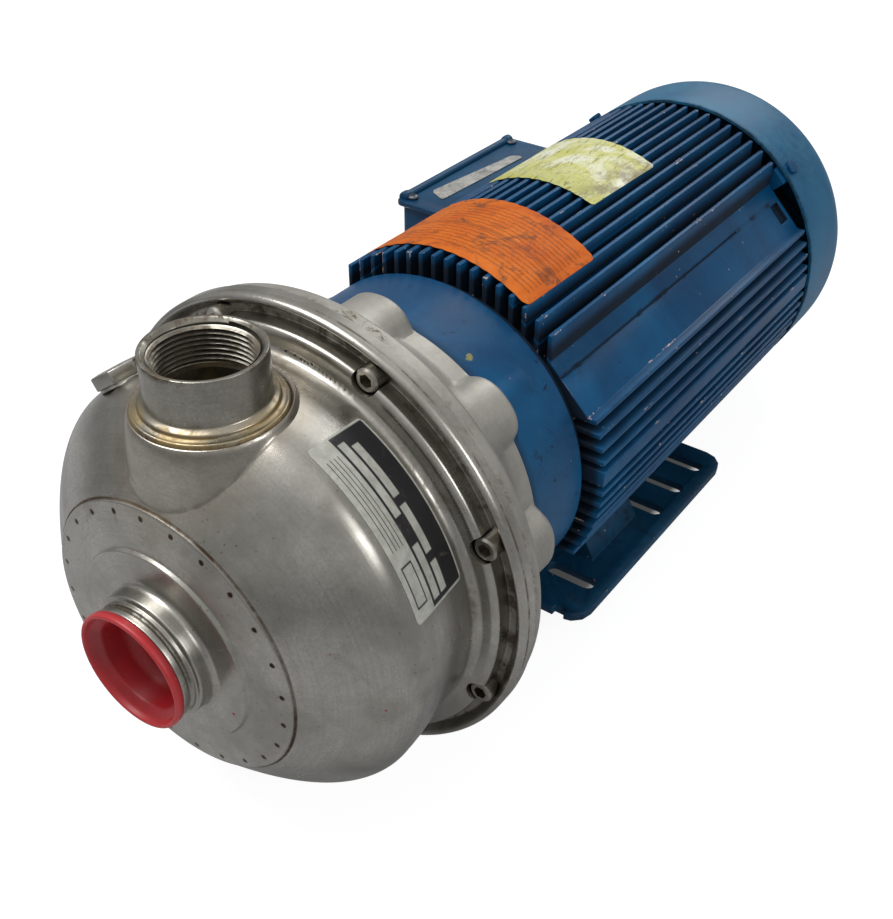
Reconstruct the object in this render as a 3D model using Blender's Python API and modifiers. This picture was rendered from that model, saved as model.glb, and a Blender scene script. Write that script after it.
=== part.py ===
"""Close-coupled centrifugal pump: stainless casing, cast adapter and a finned, foot-mounted motor."""

import math

import bmesh
import bpy
from mathutils import Matrix, Vector

# Frame: origin on the foot's underside, +Y from the suction end to the fan, +Z up, sizes in metres
GAP = 0.0003
BIG = 24
MID = 12
SMALL = 8
HEX = 6
PORT = 16
SPOT_FACE = 0.0005
FORWARD = (math.pi / 2, 0, 0)
OVERCUT = 0.001
MERGE = 0.00001
FLAT_ANGLE = 0.001

# Foot
SHAFT_HEIGHT = 0.0889
FOOT_HALF_WIDTH = 0.0883
FOOT_HALF_LENGTH = 0.086
FOOT_THICK = 0.005
FOOT_CORNER = 0.012
SLOT_OUTER_X = 0.0808
SLOT_LENGTH = 0.0285
SLOT_WIDTH = 0.0087
SLOT_SPACINGS = (0.0, 0.0762, 0.1016, 0.127)
FRONT_SLOT_Y = -0.0586
SADDLE_STEPS = 2
SADDLE_HALF_LENGTH = 0.078
GUSSET_HALF_WIDTH = 0.070
GUSSET_FRONT_Y = -0.042
GUSSET_REAR_Y = 0.006
GUSSET_STEPS = 3
NOTCH_X = 0.075
NOTCH_SIZE = 0.006
FOOT_BOLT_Y = 0.062
FOOT_BOLT_R = 0.004
FOOT_BOLT_HEAD_R = 0.0065
FOOT_BOLT_HEAD_H = 0.004
FOOT_BOLT_REACH = 0.0035

# Motor mounting face and front bell
CFACE_SETBACK = 0.06985
CFACE_R = 0.0825
RABBET_R = 0.05715
RABBET_DEPTH = 0.0032
FACE_BOLT_CIRCLE_R = 0.0746
FACE_BOLT_R = 0.0048
FACE_BOLT_HEAD_R = 0.0072
FACE_BOLT_GRIP = 0.014
BELL_LENGTH = 0.042
BELL_WALL = 0.006
BELL_BOSS_R = 0.0094
SPIGOT_LENGTH = 0.008

# Adapter
ADAPTER_LENGTH = 0.0488
ADAPTER_RIM_INSET = 0.0014
ADAPTER_RIM_THICK = 0.011
ADAPTER_NECK_R = 0.0835
ADAPTER_WALL = 0.0075
ADAPTER_FACE_THICK = 0.012
LOBE_R = 0.0125
LOBE_CENTRE_R = 0.0825
LOBE_LENGTH = 0.026
WINDOW_ANGLES = (-30.0, 150.0)
WINDOW_HALF_ANGLE = 24.0
WINDOW_LENGTH = 0.014

# Casing
CASING_DEPTH = 0.0915
CASING_WALL = 0.0028
DISC_R = 0.0648
DISC_CENTRE_RISE = 0.005
DISC_STEP_R = 0.0452
DISC_STEP_RISE = 0.0034
CREASE_DEPTH = 0.0008
BOWL_TURN = 0.0237
BOWL_STEPS = 4
SHOULDER_R = 0.0984
SHOULDER_SETBACK = 0.0545
DRUM_LENGTH = 0.008
DRUM_TAPER = 0.0042
LIP_RISE = 0.0061
LIP_HEIGHT = 0.0141
LIP_ROUND = 0.0018
LIP_NECK = 0.0025
FLANGE_WIDTH = 0.0094
FLANGE_THICK = 0.0047
FLANGE_RIM_HEIGHT = 0.0093
CHANNEL_WIDTH = 0.0035
REGISTER_STEP = 0.0001
REGISTER_DEPTH = 0.008
HOUSING_SEAT = 0.0103
SCREW_COUNT = 8
SCREW_FIRST_ANGLE = 22.5
SCREW_INSET = 0.0003
SCREW_SHANK_R = 0.0039
SCREW_HEAD_R = 0.006
SCREW_HEAD_H = 0.008
SCREW_SOCKET_AF = 0.0064
SCREW_SOCKET_DEPTH = 0.004
SCREW_REACH = 0.009
SUCTION_LENGTH = 0.0195
SUCTION_BORE_R = 0.0228
SUCTION_R = 0.0262
COLLAR_R = 0.0284
COLLAR_LENGTH = 0.0075
DISCHARGE_SETBACK = 0.0555
NOZZLE_LENGTH = 0.0231
DISCHARGE_R = 0.0241
DISCHARGE_MOUTH_R = 0.0210
DISCHARGE_BORE_R = 0.0185
THREAD_DEPTH = 0.020
WELD_RING_R = 0.0294
WELD_RING_SINK = 0.0032
BOSS_R = 0.0325
BOSS_HEIGHT = 0.0292
PLUG_ANGLE = -34.0
DRAIN_ANGLE = 180.0
PLUG_SETBACK = 0.052
PLUG_HEAD_AF = 0.019
PLUG_HEAD_H = 0.007
PLUG_THREAD_R = 0.006
PLUG_REACH = 0.006
PLUG_SEAT_DEPTH = 0.0014

# Suction cap
CAP_RIM_R = 0.0270
CAP_RIM_THICK = 0.0038
CAP_WALL = 0.0018
CAP_DEPTH = 0.016
CAP_MOUTH_R = 0.0212

# Wet end inside the casing
IMPELLER_R = 0.0738
IMPELLER_OUTLET = 0.007
SHROUD_THICK = 0.0025
EYE_R = 0.0215
EYE_WALL = 0.0025
EYE_LENGTH = 0.011
HUB_R = 0.017
HUB_LEAD = 0.004
VANE_COUNT = 6
VANE_THICK = 0.0024
VANE_SWEEP = 105.0
IMPELLER_BACK_SETBACK = 0.043
GUIDE_CLEARANCE = 0.0029
GUIDE_PLATE_THICK = 0.002
GUIDE_TUBE_WALL = 0.002
GUIDE_VANE_COUNT = 7
GUIDE_VANE_SWEEP = -34.0
WEAR_RING_THICK = 0.0015
HOUSING_THICK = 0.004
HOUSING_DISH_STEP = 0.004
HOUSING_DISH = 0.012
SEAT_R = 0.0195
SEAT_THICK = 0.009
SEAL_HEAD_R = 0.0175
SEAL_HEAD_THICK = 0.007
SPRING_TURNS = 3
SPRING_WIRE_R = 0.001
SPRING_STEPS = 8
SPRING_LENGTH = 0.011
SLINGER_R = 0.030
SLINGER_SETBACK = 0.020
SLINGER_THICK = 0.0025
SLINGER_HUB_RISE = 0.005
SLINGER_HUB_FRONT = 0.004
SLINGER_HUB_REAR = 0.006
ORING_R = 0.0013

# Shaft and bearings
IMPELLER_SEAT_R = 0.008
THREAD_R = 0.006
SEAL_SHAFT_R = 0.0111
FRONT_BEARING_BORE_R = 0.0125
FRONT_BEARING_R = 0.026
FRONT_BEARING_WIDTH = 0.015
REAR_BEARING_BORE_R = 0.010
REAR_BEARING_R = 0.0235
REAR_BEARING_WIDTH = 0.014
BALL_COUNT = 7
RACE_WALL = 0.0036
BALL_GAP = 0.0011
CAGE_HALF_WALL = 0.0009
WASHER_SPACE = 0.0018
CORE_SHAFT_R = 0.0155
FAN_SEAT_R = 0.008
NUT_LENGTH = 0.008
NUT_AF = 0.016
KEY_SIZE = 0.0045
KEY_STAND = 0.0018

# Motor body
FRAME_START_GAP = 0.0045
FRAME_LENGTH = 0.2445
BELLY_CLEARANCE = 0.0129
FRAME_WALL = 0.007
FIN_HEIGHT = 0.0155
TOP_FIN_PITCH = 0.0072
TOP_FIN_SPREAD = 52.0
TOP_FIN_THICK = 0.0024
FLAT_RISE = 0.006
SIDE_FIN_PITCH = 0.007
SIDE_FIN_THICK = 0.0026
SIDE_RIB_Z = 0.0048
SIDE_RIB_THICK = 0.0085
SIDE_RIB_STEP = 0.0087
SIDE_FINS_ABOVE = 4
SIDE_FINS_BELOW = 7
POCKET_LENGTH = 0.013
POCKET_WIDTH = 0.012
POCKET_DEPTH = 0.0035
POCKET_SHIFT = 0.0175
JOINT_RING_RISE = 0.0035
BELL_END_RISE = 0.0068
CORE_LENGTH = 0.110
STATOR_DEPTH = 0.0285
AIR_GAP = 0.0006
WINDING_LENGTH = 0.030
WINDING_CLEARANCE = 0.005
WINDING_DEPTH = 0.018
WINDING_BEVEL = 0.004

# Fan end
REAR_SHIELD_LENGTH = 0.022
REAR_SHIELD_STEP = 0.0015
LUG_HALF_WIDTH = 0.005
COVER_RISE = 0.0005
COVER_WALL = 0.0016
COVER_DEPTH = 0.0595
COVER_ROUND = 0.014
COVER_SETBACK = 0.0044
GRILLE_SLOTS = 16
GRILLE_INNER_R = 0.022
GRILLE_MARGIN = 0.014
GRILLE_SLOT_WIDTH = 0.005
FAN_CLEARANCE = 0.016
FAN_BLADES = 6
FAN_BLADE_HEIGHT = 0.018
FAN_PLATE_THICK = 0.003
FAN_HUB_R = 0.015
FAN_HUB_LENGTH = 0.020
COVER_SCREW_HEAD_R = 0.0045
COVER_SCREW_SHANK_R = 0.002
COVER_SCREW_REACH = 0.008
COVER_SCREW_SETBACK = 0.007

# Terminal box
BOX_SEAT_DEPTH = 0.004
BOX_DEPTH = 0.038
BOX_SETBACK = 0.13505
BOX_LENGTH = 0.1145
BOX_BOTTOM = -0.022
BOX_TOP = 0.0488
BOX_WALL = 0.003
BOX_CORNER = 0.004
BOX_HOLLOW_R = 0.014
LID_THICK = 0.003
LID_OVERHANG = 0.0025
LID_BEAD_R = 0.0018
LID_SCREW_INSET = 0.005
LID_SCREW_R = 0.0032
LID_SCREW_SHANK_R = 0.0018
LID_SCREW_REACH = 0.008
CONDUIT_R = 0.011
CONDUIT_SETBACK = 0.025
WIRE_WAY_R = 0.009
WIRE_WAY_Z = 0.012
CONDUIT_ROOM = 0.004
CONDUIT_ROOM_HEIGHT = 0.022
BLOCK_SIZE = (0.020, 0.040, 0.012)
BLOCK_SETBACK = 0.022

# Derived radii and heights
CORE_R = SHAFT_HEIGHT - BELLY_CLEARANCE
BORE_R = CORE_R - FRAME_WALL
FIN_TIP_R = CORE_R + FIN_HEIGHT
FLAT_DISTANCE = CORE_R + FLAT_RISE
TOP_FIN_COUNT = 2 * int(CORE_R * math.sin(math.radians(TOP_FIN_SPREAD)) / TOP_FIN_PITCH) + 1
JOINT_RING_R = CORE_R + JOINT_RING_RISE
BELL_END_R = CORE_R + BELL_END_RISE
STATOR_BORE_R = BORE_R - STATOR_DEPTH
WINDING_R = BORE_R - WINDING_CLEARANCE
WINDING_BORE_R = WINDING_R - WINDING_DEPTH
REAR_SHIELD_R = CORE_R - REAR_SHIELD_STEP
COVER_R = FIN_TIP_R + COVER_RISE
FAN_R = COVER_R - FAN_CLEARANCE
GRILLE_OUTER_R = FAN_R - GRILLE_MARGIN
BOX_INNER_X = CORE_R - BOX_SEAT_DEPTH
BOX_OUTER_X = BOX_INNER_X + BOX_DEPTH
DRUM_REAR_R = SHOULDER_R - DRUM_TAPER
LIP_R = SHOULDER_R + LIP_RISE
FLANGE_R = LIP_R + FLANGE_WIDTH
SCREW_CIRCLE_R = LIP_R - SCREW_INSET
REGISTER_R = DRUM_REAR_R + REGISTER_STEP
ADAPTER_RIM_R = FLANGE_R - ADAPTER_RIM_INSET
ADAPTER_RIM_BORE_R = REGISTER_R - HOUSING_SEAT
HOUSING_DISH_R = ADAPTER_RIM_BORE_R - HOUSING_DISH_STEP
GUIDE_R = DRUM_REAR_R - CASING_WALL - GUIDE_CLEARANCE
PLUG_SEAT_R = SHOULDER_R - PLUG_SEAT_DEPTH
WELD_RING_Z = SHOULDER_R - WELD_RING_SINK
DISCHARGE_HEIGHT = WELD_RING_Z + NOZZLE_LENGTH
BOSS_BASE_Z = WELD_RING_Z - BOSS_HEIGHT

# Derived stations along Y
CFACE_Y = FRONT_SLOT_Y - CFACE_SETBACK
JOINT_Y = CFACE_Y - ADAPTER_LENGTH
DISC_Y = JOINT_Y - CASING_DEPTH
DISC_INNER_Y = DISC_Y - 0.0005
NOZZLE_END_Y = DISC_Y - SUCTION_LENGTH
DISCHARGE_Y = JOINT_Y - DISCHARGE_SETBACK
BELL_END_Y = CFACE_Y + BELL_LENGTH
FRAME_Y = BELL_END_Y + FRAME_START_GAP
FRAME_END_Y = FRAME_Y + FRAME_LENGTH
BOX_FRONT_Y = FRAME_END_Y - BOX_SETBACK
COVER_Y = FRAME_END_Y + COVER_SETBACK
COVER_END_Y = COVER_Y + COVER_DEPTH
IMPELLER_BACK_Y = JOINT_Y - IMPELLER_BACK_SETBACK
OUTLET_Y = IMPELLER_BACK_Y - SHROUD_THICK - IMPELLER_OUTLET
EYE_Y = OUTLET_Y - SHROUD_THICK - EYE_LENGTH
GUIDE_PLATE_Y = OUTLET_Y - SHROUD_THICK - 0.001 - GUIDE_PLATE_THICK
SEAT_Y = JOINT_Y - HOUSING_THICK - HOUSING_DISH - 0.003
SEAL_HEAD_Y = SEAT_Y + 0.0005 - GAP - SEAL_HEAD_THICK
HUB_FRONT_Y = OUTLET_Y - HUB_LEAD
HUB_END_Y = SEAL_HEAD_Y - SPRING_LENGTH
FRONT_BEARING_Y = CFACE_Y + 0.014
REAR_BEARING_Y = FRAME_END_Y - 0.008
CORE_Y = (FRAME_Y + FRAME_END_Y) / 2 - CORE_LENGTH / 2
FAN_Y = FRAME_END_Y + REAR_SHIELD_LENGTH + 0.006


def empty_scene():
    """Remove every object that the scene holds."""
    for obj in list(bpy.data.objects):
        bpy.data.objects.remove(obj, do_unlink=True)


def make_collection(name):
    """A collection linked to the scene."""
    group = bpy.data.collections.new(name)
    bpy.context.scene.collection.children.link(group)
    return group


def make_material(name, color, roughness, metallic):
    """A Principled material of one colour."""
    material = bpy.data.materials.new(name)
    material.use_nodes = True
    shader = material.node_tree.nodes["Principled BSDF"]
    shader.inputs["Base Color"].default_value = (*color, 1.0)
    shader.inputs["Roughness"].default_value = roughness
    shader.inputs["Metallic"].default_value = metallic
    return material


empty_scene()
PUMP = make_collection("centrifugal_pump")
CUTTERS = make_collection("cutters")
STAINLESS = make_material("stainless", (0.55, 0.52, 0.48), 0.35, 1.0)
CASTING = make_material("bead_blasted_casting", (0.50, 0.48, 0.45), 0.6, 0.9)
STEEL = make_material("plain_steel", (0.45, 0.45, 0.46), 0.4, 1.0)
PAINT = make_material("blue_paint", (0.03, 0.12, 0.28), 0.45, 0.0)
RED_PLASTIC = make_material("red_plastic", (0.55, 0.03, 0.03), 0.4, 0.0)
RUBBER = make_material("black_rubber", (0.02, 0.02, 0.02), 0.7, 0.0)
CARBON = make_material("carbon", (0.04, 0.04, 0.045), 0.5, 0.0)
LAMINATION = make_material("laminations", (0.30, 0.29, 0.28), 0.55, 0.8)
COPPER = make_material("varnished_copper", (0.45, 0.16, 0.06), 0.4, 0.6)
BLACK_PLASTIC = make_material("black_plastic", (0.03, 0.03, 0.03), 0.5, 0.0)

SHAFT_LINE = bpy.data.objects.new("shaft_line", None)
SHAFT_LINE.location = (0, 0, SHAFT_HEIGHT)
SHAFT_LINE.rotation_euler = (-math.pi / 2, 0, 0)
PUMP.objects.link(SHAFT_LINE)


def add_object(name, mesh, material=None, location=(0, 0, 0), rotation=(0, 0, 0), parent=None):
    """Link a mesh as a named piece, or as a cutter if it has no material."""
    obj = bpy.data.objects.new(name, mesh)
    obj.location = location
    obj.rotation_euler = rotation
    obj.parent = parent
    if material is None:
        CUTTERS.objects.link(obj)
        obj.hide_render = True
        obj.display_type = 'WIRE'
    else:
        if mesh.materials:
            mesh.materials[0] = material
        else:
            mesh.materials.append(material)
        PUMP.objects.link(obj)
    return obj


def evaluated_mesh(obj):
    """The object's mesh with its modifiers, shaded smooth except at edges."""
    bpy.context.view_layer.update()
    graph = bpy.context.evaluated_depsgraph_get()
    mesh = bpy.data.meshes.new_from_object(obj.evaluated_get(graph))
    mesh.shade_smooth()
    mesh.set_sharp_from_angle(angle=math.radians(35))
    return mesh


def remove_with_mesh(obj):
    """Remove a helper object."""
    bpy.data.objects.remove(obj, do_unlink=True)


def lathe(profile, segments):
    """Turn (station, radius) pairs about local Z: front to rear outside, then back inside."""
    shape = bmesh.new()
    points = [shape.verts.new((radius, 0, station)) for station, radius in reversed(profile)]
    for start, end in zip(points, points[1:]):
        shape.edges.new((start, end))
    if profile[0][1] > 0:
        shape.edges.new((points[-1], points[0]))
    mesh = bpy.data.meshes.new("profile")
    shape.to_mesh(mesh)
    shape.free()
    obj = add_object("profile", mesh)
    screw = obj.modifiers.new("Revolve", 'SCREW')
    screw.steps = segments
    screw.render_steps = segments
    screw.use_merge_vertices = True
    screw.merge_threshold = MERGE
    turned = evaluated_mesh(obj)
    remove_with_mesh(obj)
    return turned


def extruded(outlines, depth):
    """Solid of flat outlines, the first one outside and the rest holes, extruded along local Z."""
    curve = bpy.data.curves.new("outline", 'CURVE')
    curve.dimensions = '2D'
    curve.fill_mode = 'BOTH'
    curve.extrude = depth / 2
    for outline in outlines:
        spline = curve.splines.new('POLY')
        spline.points.add(len(outline) - 1)
        for point, (x, y) in zip(spline.points, outline):
            point.co = (x, y, 0, 1)
        spline.use_cyclic_u = True
    obj = bpy.data.objects.new("outline", curve)
    CUTTERS.objects.link(obj)
    mesh = evaluated_mesh(obj)
    remove_with_mesh(obj)
    shape = bmesh.new()
    shape.from_mesh(mesh)
    bmesh.ops.remove_doubles(shape, verts=shape.verts, dist=MERGE)
    bmesh.ops.dissolve_limit(shape, angle_limit=FLAT_ANGLE, verts=shape.verts, edges=shape.edges)
    bmesh.ops.recalc_face_normals(shape, faces=shape.faces)
    bmesh.ops.translate(shape, verts=shape.verts, vec=(0, 0, depth / 2))
    shape.to_mesh(mesh)
    shape.free()
    return mesh


def blocks(boxes):
    """One mesh of separate boxes, each given by its low and high corner."""
    shape = bmesh.new()
    for low, high in boxes:
        size = [b - a for a, b in zip(low, high)]
        centre = [(a + b) / 2 for a, b in zip(low, high)]
        place = Matrix.Translation(centre) @ Matrix.Diagonal((*size, 1))
        bmesh.ops.create_cube(shape, size=1, matrix=place)
    mesh = bpy.data.meshes.new("blocks")
    shape.to_mesh(mesh)
    shape.free()
    return mesh


def rods(ends, segments=SMALL):
    """One mesh of separate rods, each given by its start, end and radius."""
    shape = bmesh.new()
    for start, end, radius in ends:
        line = Vector(end) - Vector(start)
        place = Matrix.Translation((Vector(start) + Vector(end)) / 2)
        turn = line.to_track_quat('Z', 'Y').to_matrix().to_4x4()
        bmesh.ops.create_cone(shape, cap_ends=True, segments=segments, radius1=radius,
                              radius2=radius, depth=line.length, matrix=place @ turn)
    mesh = bpy.data.meshes.new("rods")
    shape.to_mesh(mesh)
    shape.free()
    return mesh


def change(obj, tools, operation='DIFFERENCE'):
    """Cut a piece by its tools, or join them to it, and keep the result as its mesh."""
    for tool in tools:
        boolean = obj.modifiers.new(tool.name, 'BOOLEAN')
        boolean.operation = operation
        boolean.object = tool
    mesh = evaluated_mesh(obj)
    shape = bmesh.new()
    shape.from_mesh(mesh)
    bmesh.ops.remove_doubles(shape, verts=shape.verts, dist=MERGE)
    bmesh.ops.dissolve_degenerate(shape, edges=shape.edges, dist=MERGE)
    shape.to_mesh(mesh)
    shape.free()
    material = obj.data.materials[0]
    obj.modifiers.clear()
    obj.data = mesh
    mesh.materials.clear()
    mesh.materials.append(material)
    if operation == 'UNION':
        for tool in tools:
            remove_with_mesh(tool)
    return obj


def turned_piece(name, profile, material, segments=MID):
    """A piece turned about the shaft's axis."""
    return add_object(name, lathe(profile, segments), material, parent=SHAFT_LINE)


def turned_cutter(name, profile, segments=MID):
    """A cutter turned about the shaft's axis."""
    return add_object(name, lathe(profile, segments), parent=SHAFT_LINE)


def around(angle, radius, station):
    """World point at an angle in degrees from the top towards +X, about the shaft's axis."""
    turn = math.radians(angle)
    return (radius * math.sin(turn), station, SHAFT_HEIGHT + radius * math.cos(turn))


def outward(angle):
    """Rotation that stands local Z outward at an angle about the shaft's axis."""
    return (0, math.radians(angle), 0)


def ring_angles(count, first):
    """Evenly spaced angles in degrees."""
    return [first + 360 * index / count for index in range(count)]


def circle(radius, segments):
    """Points of a circle, with the first on +X."""
    steps = [2 * math.pi * index / segments for index in range(segments)]
    return [(radius * math.cos(step), radius * math.sin(step)) for step in steps]


def hexagon(across_flats):
    """Corners of a hexagon."""
    return circle(across_flats / math.sqrt(3), HEX)


def arc(centre, radius, start, end, steps):
    """Points of an arc as (station, radius) pairs, angles in degrees from +station."""
    turns = [math.radians(start + (end - start) * index / steps) for index in range(steps + 1)]
    return [(centre[0] + radius * math.cos(turn), centre[1] + radius * math.sin(turn)) for turn in turns]


def bend(start, corner, end, steps):
    """Points of a smooth curve from start to end whose tangents meet at the corner."""
    points = []
    for index in range(steps + 1):
        share = index / steps
        weights = ((1 - share) ** 2, 2 * share * (1 - share), share ** 2)
        points.append(tuple(sum(weight * point[axis] for weight, point in zip(weights, (start, corner, end)))
                            for axis in (0, 1)))
    return points


def socket_screw(head_r, head_h, shank_r, reach, socket_af, socket_depth):
    """Cap screw along local Z with its head's seat at the origin."""
    profile = [(-reach, 0), (-reach, shank_r), (0, shank_r), (0, head_r), (head_h, head_r), (head_h, 0)]
    screw = add_object("screw", lathe(profile, SMALL), STEEL)
    socket = extruded([hexagon(socket_af)], socket_depth + OVERCUT)
    tool = add_object("socket", socket, location=(0, 0, head_h - socket_depth))
    change(screw, [tool])
    mesh = screw.data
    remove_with_mesh(screw)
    remove_with_mesh(tool)
    return mesh


def casing_outside():
    """Pressed casing in section, outside from the suction nozzle to the flange."""
    disc = DISC_Y
    centre = disc - DISC_CENTRE_RISE
    shoulder = JOINT_Y - SHOULDER_SETBACK
    lip = JOINT_Y - LIP_HEIGHT
    seat = JOINT_Y - FLANGE_THICK
    rim = JOINT_Y - FLANGE_RIM_HEIGHT
    crease = (disc + CREASE_DEPTH, DISC_R + CREASE_DEPTH / 2)
    bowl = bend(crease, (crease[0] + BOWL_TURN, SHOULDER_R), (shoulder, SHOULDER_R), BOWL_STEPS)
    return [
        (NOZZLE_END_Y, 0),
        (NOZZLE_END_Y, SUCTION_R),
        (centre - COLLAR_LENGTH, SUCTION_R),
        (centre - COLLAR_LENGTH, COLLAR_R),
        (centre, COLLAR_R),
        (centre + 0.0012, COLLAR_R + 0.003),
        (disc - DISC_STEP_RISE, DISC_STEP_R),
        (disc - CREASE_DEPTH / 2, DISC_R - CREASE_DEPTH),
    ] + bowl + [
        (shoulder + DRUM_LENGTH, SHOULDER_R - DRUM_TAPER / 14),
        (lip - LIP_NECK, DRUM_REAR_R),
        (lip - LIP_NECK / 3, DRUM_REAR_R + LIP_NECK / 8),
        (lip, DRUM_REAR_R + LIP_NECK),
        (lip + LIP_ROUND / 9, LIP_R - LIP_ROUND),
        (lip + LIP_ROUND, LIP_R),
        (seat, LIP_R),
        (seat, LIP_R + CHANNEL_WIDTH),
        (rim + LIP_ROUND / 2, FLANGE_R - 1.8 * LIP_ROUND),
        (rim, FLANGE_R - LIP_ROUND),
        (rim + LIP_ROUND, FLANGE_R),
        (JOINT_Y, FLANGE_R),
        (JOINT_Y, 0),
    ]


def chamber():
    """Hollow of the casing: suction bore, pump chamber and the register for the seal housing."""
    wall = CASING_WALL
    shoulder = JOINT_Y - SHOULDER_SETBACK
    start = (DISC_Y + CREASE_DEPTH + wall, DISC_R - CREASE_DEPTH / 2)
    corner = (DISC_Y + CREASE_DEPTH + BOWL_TURN + wall, SHOULDER_R - wall)
    return [
        (NOZZLE_END_Y - OVERCUT, 0),
        (NOZZLE_END_Y - OVERCUT, SUCTION_BORE_R),
        (DISC_INNER_Y, SUCTION_BORE_R),
        (DISC_INNER_Y, DISC_STEP_R),
    ] + bend(start, corner, (shoulder, SHOULDER_R - wall), BOWL_STEPS) + [
        (shoulder + DRUM_LENGTH, SHOULDER_R - wall),
        (JOINT_Y - REGISTER_DEPTH, DRUM_REAR_R - wall),
        (JOINT_Y - REGISTER_DEPTH, REGISTER_R),
        (JOINT_Y + OVERCUT, REGISTER_R),
        (JOINT_Y + OVERCUT, 0),
    ]


def discharge_outside():
    """Drawn boss, weld rings and nozzle as (height, radius) pairs above the shaft."""
    ring = WELD_RING_Z
    return [
        (BOSS_BASE_Z, 0),
        (BOSS_BASE_Z, BOSS_R + 0.0006),
        (ring - 0.0055, BOSS_R),
        (ring - 0.0012, BOSS_R - 0.0012),
        (ring - 0.0004, WELD_RING_R + 0.0004),
        (ring, WELD_RING_R - 0.0004),
        (ring + 0.0004, WELD_RING_R - 0.0022),
        (ring + 0.0022, DISCHARGE_R + 0.0022),
        (ring + 0.0030, DISCHARGE_R),
        (DISCHARGE_HEIGHT, DISCHARGE_R),
        (DISCHARGE_HEIGHT, 0),
    ]


def discharge_bore():
    """Bore and tapered thread hole of the discharge nozzle."""
    thread_base = DISCHARGE_HEIGHT - THREAD_DEPTH
    return [
        (BOSS_BASE_Z - 0.006, 0),
        (BOSS_BASE_Z - 0.006, DISCHARGE_BORE_R),
        (thread_base, DISCHARGE_BORE_R),
        (thread_base, DISCHARGE_MOUTH_R - 0.0006),
        (DISCHARGE_HEIGHT + OVERCUT, DISCHARGE_MOUTH_R),
        (DISCHARGE_HEIGHT + OVERCUT, 0),
    ]


def build_casing():
    """Casing with its suction and discharge nozzles, screw pockets and plug holes."""
    casing = turned_piece("casing", casing_outside(), STAINLESS, BIG)
    port = (0, DISCHARGE_Y, SHAFT_HEIGHT)
    nozzle = add_object("nozzle", lathe(discharge_outside(), PORT), location=port)
    seat = rods([((0, DISCHARGE_Y, SHAFT_HEIGHT + WELD_RING_Z - 0.003),
                  (0, DISCHARGE_Y, SHAFT_HEIGHT + DISCHARGE_HEIGHT), BOSS_R - 0.0008)], PORT)
    change(casing, [add_object("port_seat", seat)])
    change(casing, [nozzle], 'UNION')
    bore = add_object("discharge_bore", lathe(discharge_bore(), PORT), location=port)
    hollow = turned_cutter("chamber", chamber(), BIG)
    change(casing, [hollow])
    angles = ring_angles(SCREW_COUNT, SCREW_FIRST_ANGLE)
    seat = JOINT_Y - FLANGE_THICK + SPOT_FACE
    plug_y = JOINT_Y - PLUG_SETBACK
    holes = [(around(angle, SCREW_CIRCLE_R, seat - OVERCUT), around(angle, SCREW_CIRCLE_R, JOINT_Y + OVERCUT),
              SCREW_SHANK_R + GAP) for angle in angles]
    pockets = [(around(angle, SCREW_CIRCLE_R, JOINT_Y - 0.02), around(angle, SCREW_CIRCLE_R, seat),
                SCREW_HEAD_R + 0.001) for angle in angles]
    plug_holes = [(around(angle, PLUG_SEAT_R - 2 * PLUG_REACH, plug_y), around(angle, SHOULDER_R, plug_y),
                   PLUG_THREAD_R + GAP) for angle in (PLUG_ANGLE, DRAIN_ANGLE)]
    plug_seats = [(around(angle, PLUG_SEAT_R, plug_y), around(angle, SHOULDER_R + PLUG_HEAD_H, plug_y),
                   PLUG_HEAD_AF / math.sqrt(3) + OVERCUT) for angle in (PLUG_ANGLE, DRAIN_ANGLE)]
    change(casing, [bore])
    change(casing, [add_object("screw_pockets", rods(pockets)), add_object("plug_seats", rods(plug_seats))])
    change(casing, [add_object("screw_holes", rods(holes)), add_object("plug_holes", rods(plug_holes))])


def build_casing_screws():
    """Eight cap screws that hold the casing to the adapter."""
    grip = FLANGE_THICK - SPOT_FACE
    mesh = socket_screw(SCREW_HEAD_R, SCREW_HEAD_H, SCREW_SHANK_R, grip + SCREW_REACH,
                        SCREW_SOCKET_AF, SCREW_SOCKET_DEPTH)
    for index, angle in enumerate(ring_angles(SCREW_COUNT, SCREW_FIRST_ANGLE)):
        place = around(angle, SCREW_CIRCLE_R, JOINT_Y - grip - GAP)
        add_object(f"casing_screw_{index + 1}", mesh, STEEL, place, FORWARD)


def build_plugs():
    """Vent plug on the shoulder and drain plug below, with hexagon heads."""
    profile = [(-PLUG_REACH, 0), (-PLUG_REACH, PLUG_THREAD_R), (OVERCUT, PLUG_THREAD_R), (OVERCUT, 0)]
    for name, angle in (("vent_plug", PLUG_ANGLE), ("drain_plug", DRAIN_ANGLE)):
        place = around(angle, PLUG_SEAT_R + GAP, JOINT_Y - PLUG_SETBACK)
        head = extruded([hexagon(PLUG_HEAD_AF)], PLUG_HEAD_H)
        plug = add_object(name, head, STAINLESS, place, outward(angle))
        stem = add_object("stem", lathe(profile, SMALL), location=place, rotation=outward(angle))
        change(plug, [stem], 'UNION')


def build_suction_cap():
    """Cup-shaped plastic plug in the suction nozzle, open to the front."""
    seat = NOZZLE_END_Y - GAP
    front = seat - CAP_RIM_THICK
    floor = seat + CAP_DEPTH
    plug_r = SUCTION_BORE_R - GAP
    turned_piece("suction_cap", [
        (floor - CAP_WALL, 0), (floor - CAP_WALL, plug_r - 0.0045 - CAP_WALL),
        (floor - 0.005, plug_r - 0.002 - CAP_WALL), (front + 0.0012, CAP_MOUTH_R),
        (front, CAP_MOUTH_R + 0.0014), (front, CAP_RIM_R - 0.0012), (front + 0.0012, CAP_RIM_R),
        (seat, CAP_RIM_R), (seat, plug_r), (floor - 0.003, plug_r - 0.001),
        (floor, plug_r - 0.003), (floor, 0)], RED_PLASTIC)


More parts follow.
